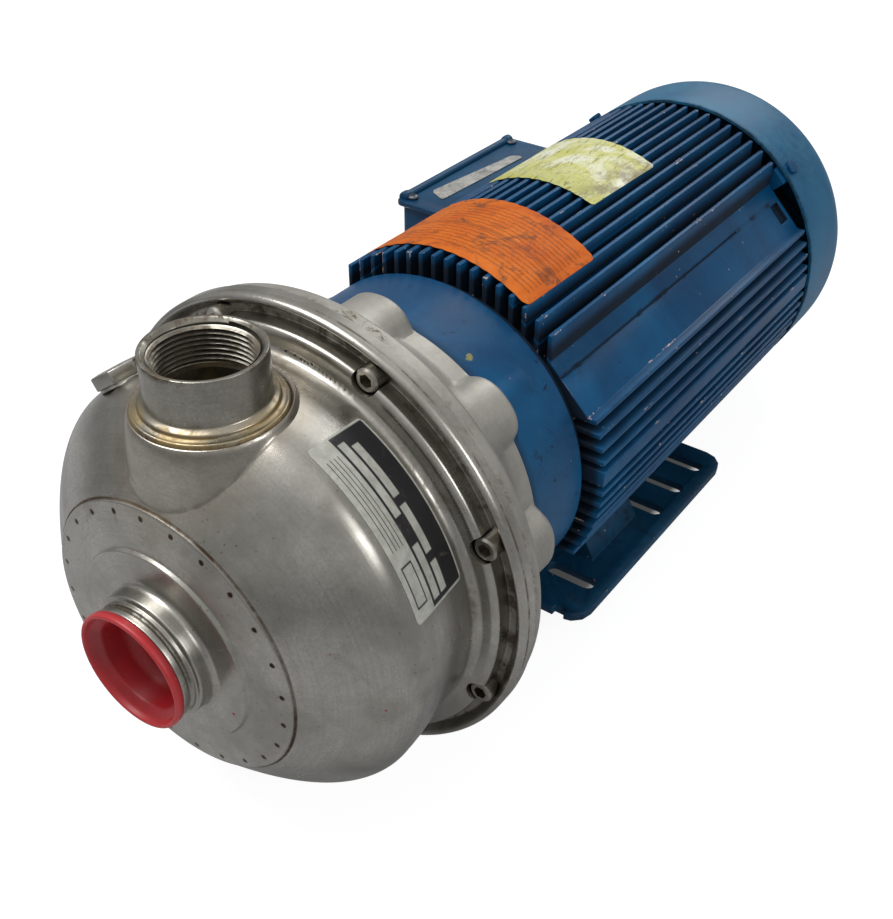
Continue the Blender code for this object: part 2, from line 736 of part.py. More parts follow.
def vane_outline(inner_r, outer_r, sweep, thick, steps):
    """Closed outline of one blade that turns by the sweep angle as it runs outward."""
    sides = []
    for side in (1, -1):
        line = []
        for index in range(steps + 1):
            share = index / steps
            radius = inner_r + (outer_r - inner_r) * share
            turn = math.radians(sweep) * share + side * thick / radius
            line.append((radius * math.cos(turn), radius * math.sin(turn)))
        sides.append(line)
    return sides[0] + sides[1][::-1]


def ring_of(outline, count, depth):
    """One mesh of identical extruded outlines around local Z."""
    blade = extruded([outline], depth)
    shape = bmesh.new()
    for index in range(count):
        before = len(shape.verts)
        shape.from_mesh(blade)
        shape.verts.ensure_lookup_table()
        turn = Matrix.Rotation(2 * math.pi * index / count, 4, 'Z')
        bmesh.ops.transform(shape, matrix=turn, verts=shape.verts[before:])
    mesh = bpy.data.meshes.new("ring")
    shape.to_mesh(mesh)
    shape.free()
    return mesh


def build_impeller():
    """Closed impeller: two shrouds, an eye ring and backward-swept vanes between them."""
    back = IMPELLER_BACK_Y
    front = OUTLET_Y
    bore = IMPELLER_SEAT_R + GAP
    neck_r = EYE_R + EYE_WALL
    impeller = turned_piece("impeller", [
        (HUB_FRONT_Y, bore), (HUB_FRONT_Y, HUB_R - 0.003),
        (back - SHROUD_THICK - 0.002, HUB_R + 0.006), (back - SHROUD_THICK, HUB_R + 0.0195),
        (back - SHROUD_THICK, IMPELLER_R), (back, IMPELLER_R), (back, HUB_R),
        (HUB_END_Y, HUB_R), (HUB_END_Y, bore)], STAINLESS, BIG)
    shroud = turned_cutter("front_shroud", [
        (EYE_Y, neck_r), (front - SHROUD_THICK, neck_r), (front - 0.0021, neck_r + 0.010),
        (front - 0.001, IMPELLER_R), (front + 0.001, IMPELLER_R), (front, neck_r + 0.010),
        (front - 0.001, EYE_R + 0.002), (front - 0.004, EYE_R), (EYE_Y, EYE_R)], BIG)
    outline = vane_outline(EYE_R + 0.001, IMPELLER_R - 0.0008, VANE_SWEEP, VANE_THICK, 5)
    depth = IMPELLER_OUTLET + SHROUD_THICK / 2 + 0.0006
    vanes = add_object("vanes", ring_of(outline, VANE_COUNT, depth),
                       location=(0, 0, front - 0.0006), parent=SHAFT_LINE)
    change(impeller, [shroud, vanes], 'UNION')
    half = KEY_SIZE / 2 + GAP
    slot = blocks([((-half, HUB_FRONT_Y - OVERCUT, 0), (half, HUB_END_Y + OVERCUT, bore + KEY_STAND))])
    change(impeller, [add_object("hub_keyway", slot, location=(0, 0, SHAFT_HEIGHT))])


def build_guide_vane():
    """Guide vane plate round the impeller with the tube that leads from the suction nozzle to the eye."""
    rear = GUIDE_PLATE_Y + GUIDE_PLATE_THICK
    bore = EYE_R + EYE_WALL + GAP + WEAR_RING_THICK + GAP
    tube_r = bore + GUIDE_TUBE_WALL
    guide = turned_piece("guide_vane", [
        (DISC_INNER_Y + GAP, bore), (DISC_INNER_Y + GAP, tube_r), (GUIDE_PLATE_Y, tube_r),
        (GUIDE_PLATE_Y, GUIDE_R), (rear, GUIDE_R), (rear, bore)], STAINLESS, BIG)
    outline = vane_outline(IMPELLER_R + 0.0015, GUIDE_R - 0.0006, GUIDE_VANE_SWEEP, VANE_THICK, 3)
    depth = IMPELLER_BACK_Y - GUIDE_PLATE_Y - 0.0005
    vanes = add_object("guides", ring_of(outline, GUIDE_VANE_COUNT, depth),
                       location=(0, 0, GUIDE_PLATE_Y + 0.0005), parent=SHAFT_LINE)
    change(guide, [vanes], 'UNION')
    turned_piece("wear_ring", [
        (EYE_Y + 0.001, bore - GAP - WEAR_RING_THICK), (EYE_Y + 0.001, bore - GAP),
        (rear, bore - GAP), (rear, bore - GAP - WEAR_RING_THICK)], BLACK_PLASTIC, BIG)


def build_seal_housing():
    """Dished plate between casing and adapter, and the O-ring in front of its edge."""
    front = JOINT_Y - HOUSING_THICK
    dish = front - HOUSING_DISH
    pocket = SEAT_R + GAP
    step = SEAT_Y + SEAT_THICK + GAP
    turned_piece("seal_housing", [
        (SEAT_Y, pocket), (SEAT_Y, pocket + 0.004), (dish, pocket + 0.008), (dish, HOUSING_DISH_R - 0.006),
        (front, HOUSING_DISH_R), (front, REGISTER_R - GAP), (JOINT_Y, REGISTER_R - GAP),
        (JOINT_Y, HOUSING_DISH_R + 0.004), (dish + HOUSING_THICK, HOUSING_DISH_R - 0.003),
        (dish + HOUSING_THICK, pocket + 0.008), (step + 0.004, pocket + 0.004),
        (step + 0.004, SEAL_SHAFT_R + 0.002), (step, SEAL_SHAFT_R + 0.002), (step, pocket)], STAINLESS, BIG)
    ring_y = (JOINT_Y - REGISTER_DEPTH + front) / 2
    turned_piece("casing_oring", arc((ring_y, REGISTER_R - GAP - ORING_R), ORING_R, 180, -180, 6)[:-1], RUBBER)


def build_mechanical_seal():
    """Fixed seat, rotating head and the coil spring behind the head."""
    bore = SEAL_SHAFT_R + GAP
    turned_piece("seal_seat", [
        (SEAT_Y + 0.0005, bore + 0.0007), (SEAT_Y + 0.0005, SEAT_R),
        (SEAT_Y + SEAT_THICK, SEAT_R), (SEAT_Y + SEAT_THICK, bore + 0.0007)], CARBON)
    rear = SEAL_HEAD_Y + SEAL_HEAD_THICK
    turned_piece("seal_head", [
        (SEAL_HEAD_Y, bore), (SEAL_HEAD_Y, SEAL_HEAD_R), (rear - 0.002, SEAL_HEAD_R),
        (rear - 0.002, SEAL_HEAD_R - 0.003), (rear, SEAL_HEAD_R - 0.003), (rear, bore)], CARBON)
    wire = bpy.data.curves.new("wire", 'CURVE')
    wire.dimensions = '3D'
    wire.bevel_depth = SPRING_WIRE_R
    wire.bevel_resolution = 1
    wire.use_fill_caps = True
    spline = wire.splines.new('POLY')
    low = HUB_END_Y + GAP + SPRING_WIRE_R
    rise = SEAL_HEAD_Y - GAP - SPRING_WIRE_R - low
    count = SPRING_TURNS * SPRING_STEPS
    spline.points.add(count)
    radius = SEAL_HEAD_R - 0.002
    for index, point in enumerate(spline.points):
        turn = 2 * math.pi * index / SPRING_STEPS
        point.co = (radius * math.cos(turn), radius * math.sin(turn), low + rise * index / count, 1)
    coil = bpy.data.objects.new("coil", wire)
    CUTTERS.objects.link(coil)
    mesh = evaluated_mesh(coil)
    remove_with_mesh(coil)
    shape = bmesh.new()
    shape.from_mesh(mesh)
    bmesh.ops.remove_doubles(shape, verts=shape.verts, dist=MERGE)
    bmesh.ops.recalc_face_normals(shape, faces=shape.faces)
    shape.to_mesh(mesh)
    shape.free()
    add_object("seal_spring", mesh, STEEL, parent=SHAFT_LINE)


def build_shaft():
    """Stepped shaft from the impeller thread to the fan seat, its key and the impeller nut."""
    front = HUB_FRONT_Y - GAP - NUT_LENGTH - 0.001
    bearing_end = FRONT_BEARING_Y + FRONT_BEARING_WIDTH + GAP
    fan_end = FAN_Y + FAN_HUB_LENGTH + 0.004
    shaft = turned_piece("shaft", [
        (front, 0), (front, THREAD_R), (HUB_FRONT_Y, THREAD_R), (HUB_FRONT_Y, IMPELLER_SEAT_R),
        (HUB_END_Y + GAP, IMPELLER_SEAT_R), (HUB_END_Y + GAP, SEAL_SHAFT_R),
        (FRONT_BEARING_Y - 0.003, SEAL_SHAFT_R), (FRONT_BEARING_Y - 0.003, FRONT_BEARING_BORE_R - GAP),
        (bearing_end, FRONT_BEARING_BORE_R - GAP), (bearing_end, CORE_SHAFT_R),
        (REAR_BEARING_Y - GAP, CORE_SHAFT_R), (REAR_BEARING_Y - GAP, REAR_BEARING_BORE_R - GAP),
        (REAR_BEARING_Y + REAR_BEARING_WIDTH, REAR_BEARING_BORE_R - GAP),
        (REAR_BEARING_Y + REAR_BEARING_WIDTH, FAN_SEAT_R), (fan_end, FAN_SEAT_R), (fan_end, 0)], STEEL)
    half = KEY_SIZE / 2
    low = IMPELLER_SEAT_R - KEY_STAND
    key_end = HUB_END_Y - 0.001
    key_front = HUB_FRONT_Y + 0.001
    slot = blocks([((-half - GAP, key_front - GAP, low - GAP),
                    (half + GAP, key_end + GAP, IMPELLER_SEAT_R + KEY_STAND))])
    change(shaft, [add_object("shaft_keyway", slot, location=(0, 0, SHAFT_HEIGHT))])
    key = blocks([((-half, key_front, low), (half, key_end, IMPELLER_SEAT_R + KEY_STAND))])
    add_object("impeller_key", key, STEEL, (0, 0, SHAFT_HEIGHT))
    nut = extruded([hexagon(NUT_AF), circle(THREAD_R + GAP, MID)], NUT_LENGTH)
    add_object("impeller_nut", nut, STAINLESS, (0, 0, HUB_FRONT_Y - GAP - NUT_LENGTH), parent=SHAFT_LINE)
    plate = CFACE_Y - SLINGER_SETBACK
    bore = SEAL_SHAFT_R + GAP
    hub = SEAL_SHAFT_R + SLINGER_HUB_RISE
    root = hub + OVERCUT
    turned_piece("slinger", [
        (plate - SLINGER_HUB_FRONT, bore), (plate - SLINGER_HUB_FRONT, hub), (plate, root), (plate, SLINGER_R),
        (plate + SLINGER_THICK, SLINGER_R), (plate + SLINGER_THICK, root), (plate + SLINGER_HUB_REAR, hub),
        (plate + SLINGER_HUB_REAR, bore)], RUBBER)


def build_bearing(name, start, width, bore_r, outer_r):
    """Ball bearing: inner ring, outer ring, and the balls held in their cage."""
    middle = start + width / 2
    end = start + width
    pitch_r = (bore_r + outer_r) / 2
    ball_r = (outer_r - bore_r) / 2 - RACE_WALL
    inner_land = pitch_r - ball_r * 0.68
    outer_land = pitch_r + ball_r * 0.68
    inner_floor = pitch_r - ball_r - GAP
    outer_floor = pitch_r + ball_r + BALL_GAP
    turned_piece(f"{name}_inner_ring", [
        (start, bore_r), (start, inner_land), (middle - ball_r * 1.05, inner_land),
        (middle - ball_r * 0.6, inner_floor), (middle + ball_r * 0.6, inner_floor),
        (middle + ball_r * 1.05, inner_land), (end, inner_land), (end, bore_r)], STEEL)
    turned_piece(f"{name}_outer_ring", [
        (start, outer_land), (start, outer_r), (end, outer_r), (end, outer_land),
        (middle + ball_r * 1.05, outer_land), (middle + ball_r * 0.6, outer_floor),
        (middle - ball_r * 0.6, outer_floor), (middle - ball_r * 1.05, outer_land)], STEEL)
    half = ball_r * 0.7
    cage = turned_piece(f"{name}_cage", [
        (middle - half, pitch_r - CAGE_HALF_WALL), (middle - half, pitch_r + CAGE_HALF_WALL),
        (middle + half, pitch_r + CAGE_HALF_WALL), (middle + half, pitch_r - CAGE_HALF_WALL)], STEEL)
    shape = bmesh.new()
    for angle in ring_angles(BALL_COUNT, 0):
        place = Matrix.Translation(around(angle, pitch_r, middle))
        bmesh.ops.create_uvsphere(shape, u_segments=6, v_segments=4, radius=ball_r, matrix=place)
    mesh = bpy.data.meshes.new("balls")
    shape.to_mesh(mesh)
    shape.free()
    change(cage, [add_object("balls", mesh)], 'UNION')


def build_adapter():
    """Cast adapter: flange ring, tapering neck, lobes at the motor face, and two side windows."""
    front = JOINT_Y + GAP
    rear = CFACE_Y - GAP
    rim_end = JOINT_Y + ADAPTER_RIM_THICK
    step = CFACE_Y - ADAPTER_FACE_THICK
    register = RABBET_R + GAP
    adapter = turned_piece("adapter", [
        (front, ADAPTER_RIM_BORE_R), (front, ADAPTER_RIM_R - 0.001), (front + 0.0012, ADAPTER_RIM_R),
        (rim_end - 0.003, ADAPTER_RIM_R - 0.0005), (rim_end, ADAPTER_RIM_R - 0.004),
        (rim_end + 0.011, ADAPTER_NECK_R + 0.011), (rim_end + 0.023, ADAPTER_NECK_R + 0.003),
        (rear - 0.009, ADAPTER_NECK_R + 0.0005), (rear, ADAPTER_NECK_R), (rear, register),
        (rear - RABBET_DEPTH, register), (rear - RABBET_DEPTH, RABBET_R - 0.007),
        (step, RABBET_R - 0.007), (step, ADAPTER_NECK_R - ADAPTER_WALL * 2),
        (rim_end + 0.023, ADAPTER_NECK_R + 0.002 - ADAPTER_WALL),
        (rim_end + 0.011, ADAPTER_NECK_R + 0.008 - ADAPTER_WALL), (rim_end - 0.001, ADAPTER_RIM_BORE_R + 0.010),
        (rim_end - 0.001, ADAPTER_RIM_BORE_R)], CASTING, BIG)
    lobes = [(around(angle, LOBE_CENTRE_R, rear - LOBE_LENGTH), around(angle, LOBE_CENTRE_R, rear), LOBE_R)
             for angle in ring_angles(8, 0)]
    change(adapter, [add_object("lobes", rods(lobes))], 'UNION')
    rear_angles = ring_angles(4, 45)
    face = [(around(angle, FACE_BOLT_CIRCLE_R, step - OVERCUT), around(angle, FACE_BOLT_CIRCLE_R, rear + OVERCUT),
             FACE_BOLT_R + GAP) for angle in rear_angles]
    seat = step + SPOT_FACE
    pockets = [(around(angle, FACE_BOLT_CIRCLE_R, step - 0.012), around(angle, FACE_BOLT_CIRCLE_R, seat),
                FACE_BOLT_HEAD_R + 0.001) for angle in rear_angles]
    screws = [(around(angle, SCREW_CIRCLE_R, front - OVERCUT),
               around(angle, SCREW_CIRCLE_R, JOINT_Y + SCREW_REACH + 0.0006),
               SCREW_SHANK_R + GAP) for angle in ring_angles(SCREW_COUNT, SCREW_FIRST_ANGLE)]
    change(adapter, [add_object("face_pockets", rods(pockets))])
    change(adapter, [add_object("face_holes", rods(face)), add_object("screw_threads", rods(screws))])
    window_y = rim_end + 0.006
    half = math.sin(math.radians(WINDOW_HALF_ANGLE)) * ADAPTER_NECK_R
    for angle in WINDOW_ANGLES:
        window = blocks([((-half, window_y, ADAPTER_NECK_R * 0.8), (half, window_y + WINDOW_LENGTH, 0.12))])
        tool = add_object("window", window, location=(0, 0, SHAFT_HEIGHT), rotation=outward(angle))
        change(adapter, [tool])
    mesh = socket_screw(FACE_BOLT_HEAD_R, FACE_BOLT_R * 1.8, FACE_BOLT_R, CFACE_Y - seat + FACE_BOLT_GRIP,
                        SCREW_SOCKET_AF, SCREW_SOCKET_DEPTH)
    for index, angle in enumerate(rear_angles):
        place = around(angle, FACE_BOLT_CIRCLE_R, seat - GAP)
        add_object(f"adapter_bolt_{index + 1}", mesh, STEEL, place, FORWARD)


def build_front_shield():
    """Motor's front bell with the mounting face, its rabbet, bolt bosses and bearing housing."""
    face = CFACE_Y
    spigot = BORE_R - GAP
    housing = FRONT_BEARING_R + GAP
    start = FRONT_BEARING_Y - GAP
    end = FRONT_BEARING_Y + FRONT_BEARING_WIDTH
    inner = CFACE_R - BELL_WALL
    shield = turned_piece("front_end_shield", [
        (face - RABBET_DEPTH, RABBET_R - 0.006), (face - RABBET_DEPTH, RABBET_R), (face, RABBET_R),
        (face, CFACE_R - 0.0015), (face + 0.0015, CFACE_R), (BELL_END_Y - 0.001, BELL_END_R),
        (BELL_END_Y, BELL_END_R - 0.0011), (BELL_END_Y, JOINT_RING_R), (FRAME_Y - GAP, JOINT_RING_R),
        (FRAME_Y - GAP, spigot), (FRAME_Y + SPIGOT_LENGTH, spigot),
        (FRAME_Y + SPIGOT_LENGTH, spigot - 0.005), (BELL_END_Y - 0.004, spigot - 0.002), (face + 0.014, inner),
        (face + 0.010, inner - 0.008), (face + 0.010, housing + BELL_WALL), (end, housing + BELL_WALL),
        (end, housing), (start, housing), (start, housing - 0.006), (face + 0.003, housing - 0.006),
        (face + 0.003, RABBET_R - 0.008)], PAINT, BIG)
    angles = ring_angles(4, 45)
    bosses = [(around(angle, FACE_BOLT_CIRCLE_R, face + 0.0005), around(angle, FACE_BOLT_CIRCLE_R, face + 0.028),
               BELL_BOSS_R) for angle in angles]
    holes = [(around(angle, FACE_BOLT_CIRCLE_R, face - OVERCUT),
              around(angle, FACE_BOLT_CIRCLE_R, face + FACE_BOLT_GRIP + OVERCUT), FACE_BOLT_R + GAP)
             for angle in angles]
    change(shield, [add_object("bell_bosses", rods(bosses))], 'UNION')
    change(shield, [add_object("bell_holes", rods(holes))])


def top_fin_centres():
    """Places along X of the upright fins on top of the frame."""
    first = -TOP_FIN_PITCH * (TOP_FIN_COUNT - 1) / 2
    return [first + TOP_FIN_PITCH * index for index in range(TOP_FIN_COUNT)]


def side_fins():
    """Places along Z and thicknesses of the level fins on one side, top first."""
    above = [(SIDE_RIB_Z + SIDE_RIB_STEP + SIDE_FIN_PITCH * index, SIDE_FIN_THICK)
             for index in range(SIDE_FINS_ABOVE)]
    below = [(SIDE_RIB_Z - SIDE_RIB_STEP - SIDE_FIN_PITCH * index, SIDE_FIN_THICK)
             for index in range(SIDE_FINS_BELOW)]
    return above[::-1] + [(SIDE_RIB_Z, SIDE_RIB_THICK)] + below


def reach(radius, across):
    """Height of a circle of a radius at a distance from its middle line."""
    return math.sqrt(radius * radius - across * across)


def frame_outline():
    """Section of the finned frame: upright fins on top, 45 degree flats, level fins, round belly."""
    top = []
    for centre in top_fin_centres():
        left = centre - TOP_FIN_THICK / 2
        right = centre + TOP_FIN_THICK / 2
        tip = reach(FIN_TIP_R, centre)
        top += [(left, reach(CORE_R, left)), (left, tip), (right, tip), (right, reach(CORE_R, right))]
    diagonal = FLAT_DISTANCE * math.sqrt(2)
    right_edge = top[-2][0]
    top[-1] = (right_edge, diagonal - right_edge)
    top[0] = (-right_edge, diagonal - right_edge)
    side = []
    for index, (centre, thick) in enumerate(side_fins()):
        high = centre + thick / 2
        low = centre - thick / 2
        tip = reach(FIN_TIP_R, centre)
        root = diagonal - high if index == 0 else reach(CORE_R, high)
        side += [(root, high), (tip, high), (tip, low), (reach(CORE_R, low), low)]
    belly = []
    for index in range(1, BIG // 2):
        turn = 2 * math.pi * index / BIG
        point = (CORE_R * math.cos(turn), -CORE_R * math.sin(turn))
        if point[1] < side[-1][1] - 0.004:
            belly.append(point)
    mirrored = [(-x, z) for x, z in reversed(side)]
    return top + side + belly + mirrored


def build_frame():
    """Extruded motor frame with the seat of the terminal box and the recess near each flat's end."""
    frame = add_object("motor_frame", extruded([frame_outline(), circle(BORE_R, BIG)], FRAME_LENGTH),
                       PAINT, (0, FRAME_END_Y, SHAFT_HEIGHT), FORWARD)
    margin = 0.003
    seat = blocks([((-FIN_TIP_R - margin, BOX_FRONT_Y - margin, BOX_BOTTOM - margin),
                    (-BOX_INNER_X, BOX_FRONT_Y + BOX_LENGTH + margin, BOX_TOP + 2 * margin))])
    half = CONDUIT_R + CONDUIT_ROOM
    conduit_y = BOX_FRONT_Y + BOX_LENGTH / 2 - CONDUIT_SETBACK
    room = blocks([((-FIN_TIP_R - margin, conduit_y - half, BOX_BOTTOM - CONDUIT_ROOM_HEIGHT),
                    (CONDUIT_R - (BOX_OUTER_X + BOX_INNER_X) / 2 + CONDUIT_ROOM / 2, conduit_y + half,
                     BOX_BOTTOM))])
    recess = blocks([((POCKET_SHIFT - POCKET_WIDTH / 2, FRAME_END_Y - POCKET_LENGTH, FLAT_DISTANCE - POCKET_DEPTH),
                      (POCKET_SHIFT + POCKET_WIDTH / 2, FRAME_END_Y - 0.003, FLAT_DISTANCE + margin))])
    centre = (0, 0, SHAFT_HEIGHT)
    bolt_top = SHAFT_HEIGHT - CORE_R + FOOT_BOLT_REACH + GAP
    bolts = [((0, y, 0), (0, y, bolt_top), FOOT_BOLT_R + GAP) for y in (-FOOT_BOLT_Y, FOOT_BOLT_Y)]
    tools = [add_object("box_seat", seat, location=centre),
             add_object("conduit_room", room, location=centre),
             add_object("recess", recess, location=centre, rotation=outward(45)),
             add_object("wire_way", rods([wire_way()])), add_object("foot_threads", rods(bolts))]
    for tool in tools:
        change(frame, [tool])


def wire_way():
    """Round way for the leads from the terminal box into the frame."""
    middle = BOX_FRONT_Y + BOX_LENGTH / 2
    height = SHAFT_HEIGHT + WIRE_WAY_Z
    return ((-BOX_INNER_X - 0.006, middle, height), (-BORE_R + 0.012, middle, height), WIRE_WAY_R)


def build_core():
    """Rotor core on the shaft, stator core in the frame, and the end windings."""
    end = CORE_Y + CORE_LENGTH
    turned_piece("rotor_core", [
        (CORE_Y, CORE_SHAFT_R + GAP), (CORE_Y, STATOR_BORE_R - AIR_GAP), (end, STATOR_BORE_R - AIR_GAP),
        (end, CORE_SHAFT_R + GAP)], LAMINATION)
    turned_piece("stator_core", [
        (CORE_Y, STATOR_BORE_R), (CORE_Y, BORE_R - GAP), (end, BORE_R - GAP), (end, STATOR_BORE_R)],
        LAMINATION, BIG)
    bevel = WINDING_BEVEL
    for name, low in (("front_winding", CORE_Y - GAP - WINDING_LENGTH), ("rear_winding", end + GAP)):
        high = low + WINDING_LENGTH
        turned_piece(name, [
            (low, WINDING_BORE_R), (low, WINDING_R - bevel), (low + bevel, WINDING_R),
            (high - bevel, WINDING_R), (high, WINDING_R - bevel), (high, WINDING_BORE_R)], COPPER)


def build_rear_shield():
    """Rear end shield with the bearing housing, four lugs for the fan cover, and the wave washer."""
    face = FRAME_END_Y
    end = face + REAR_SHIELD_LENGTH
    spigot = BORE_R - GAP
    housing = REAR_BEARING_R + GAP
    floor = REAR_BEARING_Y + REAR_BEARING_WIDTH + WASHER_SPACE
    shield = turned_piece("rear_end_shield", [
        (face - SPIGOT_LENGTH, spigot - 0.004), (face - SPIGOT_LENGTH, spigot), (face + GAP, spigot),
        (face + GAP, REAR_SHIELD_R), (end - 0.005, REAR_SHIELD_R), (end, REAR_SHIELD_R - 0.007),
        (end, FAN_SEAT_R + 0.0015), (floor, FAN_SEAT_R + 0.0015), (floor, housing),
        (REAR_BEARING_Y - 0.001, housing), (REAR_BEARING_Y - 0.001, housing + 0.005),
        (end - 0.007, housing + 0.006), (end - 0.007, spigot - 0.006)], PAINT)
    inside = COVER_R - COVER_WALL - GAP
    half = LUG_HALF_WIDTH
    for angle in ring_angles(4, 45):
        lug = blocks([((-half, face + GAP, REAR_SHIELD_R - 0.004), (half, end - 0.001, inside - 0.0006))])
        place = (0, 0, SHAFT_HEIGHT)
        change(shield, [add_object("lug", lug, location=place, rotation=outward(angle))], 'UNION')
    change(shield, [add_object("lug_threads", rods(cover_screw_lines()))])
    low = REAR_BEARING_Y + REAR_BEARING_WIDTH + GAP
    high = floor - GAP
    turned_piece("wave_washer", [
        (low, REAR_BEARING_R - 0.005), (low, REAR_BEARING_R - 0.0005), (high, REAR_BEARING_R - 0.0005),
        (high, REAR_BEARING_R - 0.005)], STEEL)


def cover_screw_lines():
    """Radial holes for the four screws of the fan cover."""
    station = COVER_Y + COVER_SCREW_SETBACK
    return [(around(angle, COVER_R - COVER_SCREW_REACH - GAP, station), around(angle, COVER_R + 0.003, station),
             COVER_SCREW_SHANK_R + GAP) for angle in ring_angles(4, 45)]


def build_fan():
    """Radial-blade fan and the clip that holds it on the shaft."""
    bore = FAN_SEAT_R + GAP
    hub_end = FAN_Y + FAN_HUB_LENGTH
    fan = turned_piece("fan", [
        (FAN_Y, bore), (FAN_Y, FAN_R - 0.004), (FAN_Y + FAN_PLATE_THICK, FAN_R - 0.004),
        (FAN_Y + FAN_PLATE_THICK, FAN_HUB_R + 0.004), (FAN_Y + FAN_PLATE_THICK + 0.004, FAN_HUB_R),
        (hub_end, FAN_HUB_R - 0.001), (hub_end, bore)], BLACK_PLASTIC)
    half = FAN_PLATE_THICK / 2
    outline = [(FAN_HUB_R - 0.003, -half), (FAN_R, -half), (FAN_R, half), (FAN_HUB_R - 0.003, half)]
    blades = add_object("fan_blades", ring_of(outline, FAN_BLADES, FAN_BLADE_HEIGHT),
                        location=(0, 0, FAN_Y + 0.001), parent=SHAFT_LINE)
    change(fan, [blades], 'UNION')
    clip_y = hub_end + GAP
    turned_piece("fan_clip", [
        (clip_y, bore), (clip_y, FAN_SEAT_R + 0.004), (clip_y + 0.0012, FAN_SEAT_R + 0.004),
        (clip_y + 0.0012, bore)], STEEL)


def build_fan_cover():
    """Pressed fan cover with a slotted back, and its four screws."""
    wall = COVER_WALL
    bend_y = COVER_END_Y - COVER_ROUND
    bend_r = COVER_R - COVER_ROUND
    outer = arc((bend_y, bend_r), COVER_ROUND, 90, 0, 3)
    inner = arc((bend_y, bend_r), COVER_ROUND - wall, 0, 90, 3)
    cover = turned_piece("fan_cover", [(COVER_END_Y - wall, 0)] + inner + [(COVER_Y, COVER_R - wall),
                         (COVER_Y, COVER_R)] + outer + [(COVER_END_Y, 0)], PAINT, BIG)
    half = GRILLE_SLOT_WIDTH / 2
    slot = [(GRILLE_INNER_R, -half), (GRILLE_OUTER_R, -half), (GRILLE_OUTER_R, half), (GRILLE_INNER_R, half)]
    slots = add_object("grille", ring_of(slot, GRILLE_SLOTS, wall * 4),
                       location=(0, 0, COVER_END_Y - wall * 2.5), parent=SHAFT_LINE)
    change(cover, [slots])
    change(cover, [add_object("cover_holes", rods(cover_screw_lines()))])
    profile = [(-COVER_SCREW_REACH, 0), (-COVER_SCREW_REACH, COVER_SCREW_SHANK_R), (0, COVER_SCREW_SHANK_R),
               (0, COVER_SCREW_HEAD_R), (0.0012, COVER_SCREW_HEAD_R), (0.0026, COVER_SCREW_HEAD_R * 0.6),
               (0.0026, 0)]
    mesh = lathe(profile, SMALL)
    for index, angle in enumerate(ring_angles(4, 45)):
        place = around(angle, COVER_R + GAP, COVER_Y + COVER_SCREW_SETBACK)
        add_object(f"fan_cover_screw_{index + 1}", mesh, STEEL, place, outward(angle))


def rounded_rectangle(half_x, half_y, radius, steps=3):
    """Outline of a rectangle with round corners, centred on the origin."""
    points = []
    for quarter, (sign_x, sign_y) in enumerate(((1, 1), (-1, 1), (-1, -1), (1, -1))):
        for index in range(steps + 1):
            turn = math.pi / 2 * (quarter + index / steps)
            points.append((sign_x * (half_x - radius) + radius * math.cos(turn),
                           sign_y * (half_y - radius) + radius * math.sin(turn)))
    return points


def belly_point(step, clearance):
    """Point of the foot's section, a number of facets from straight down and clear of the frame."""
    turn = 2 * math.pi * step / BIG
    radius = CORE_R + clearance
    return (radius * math.sin(turn), SHAFT_HEIGHT - radius * math.cos(turn))


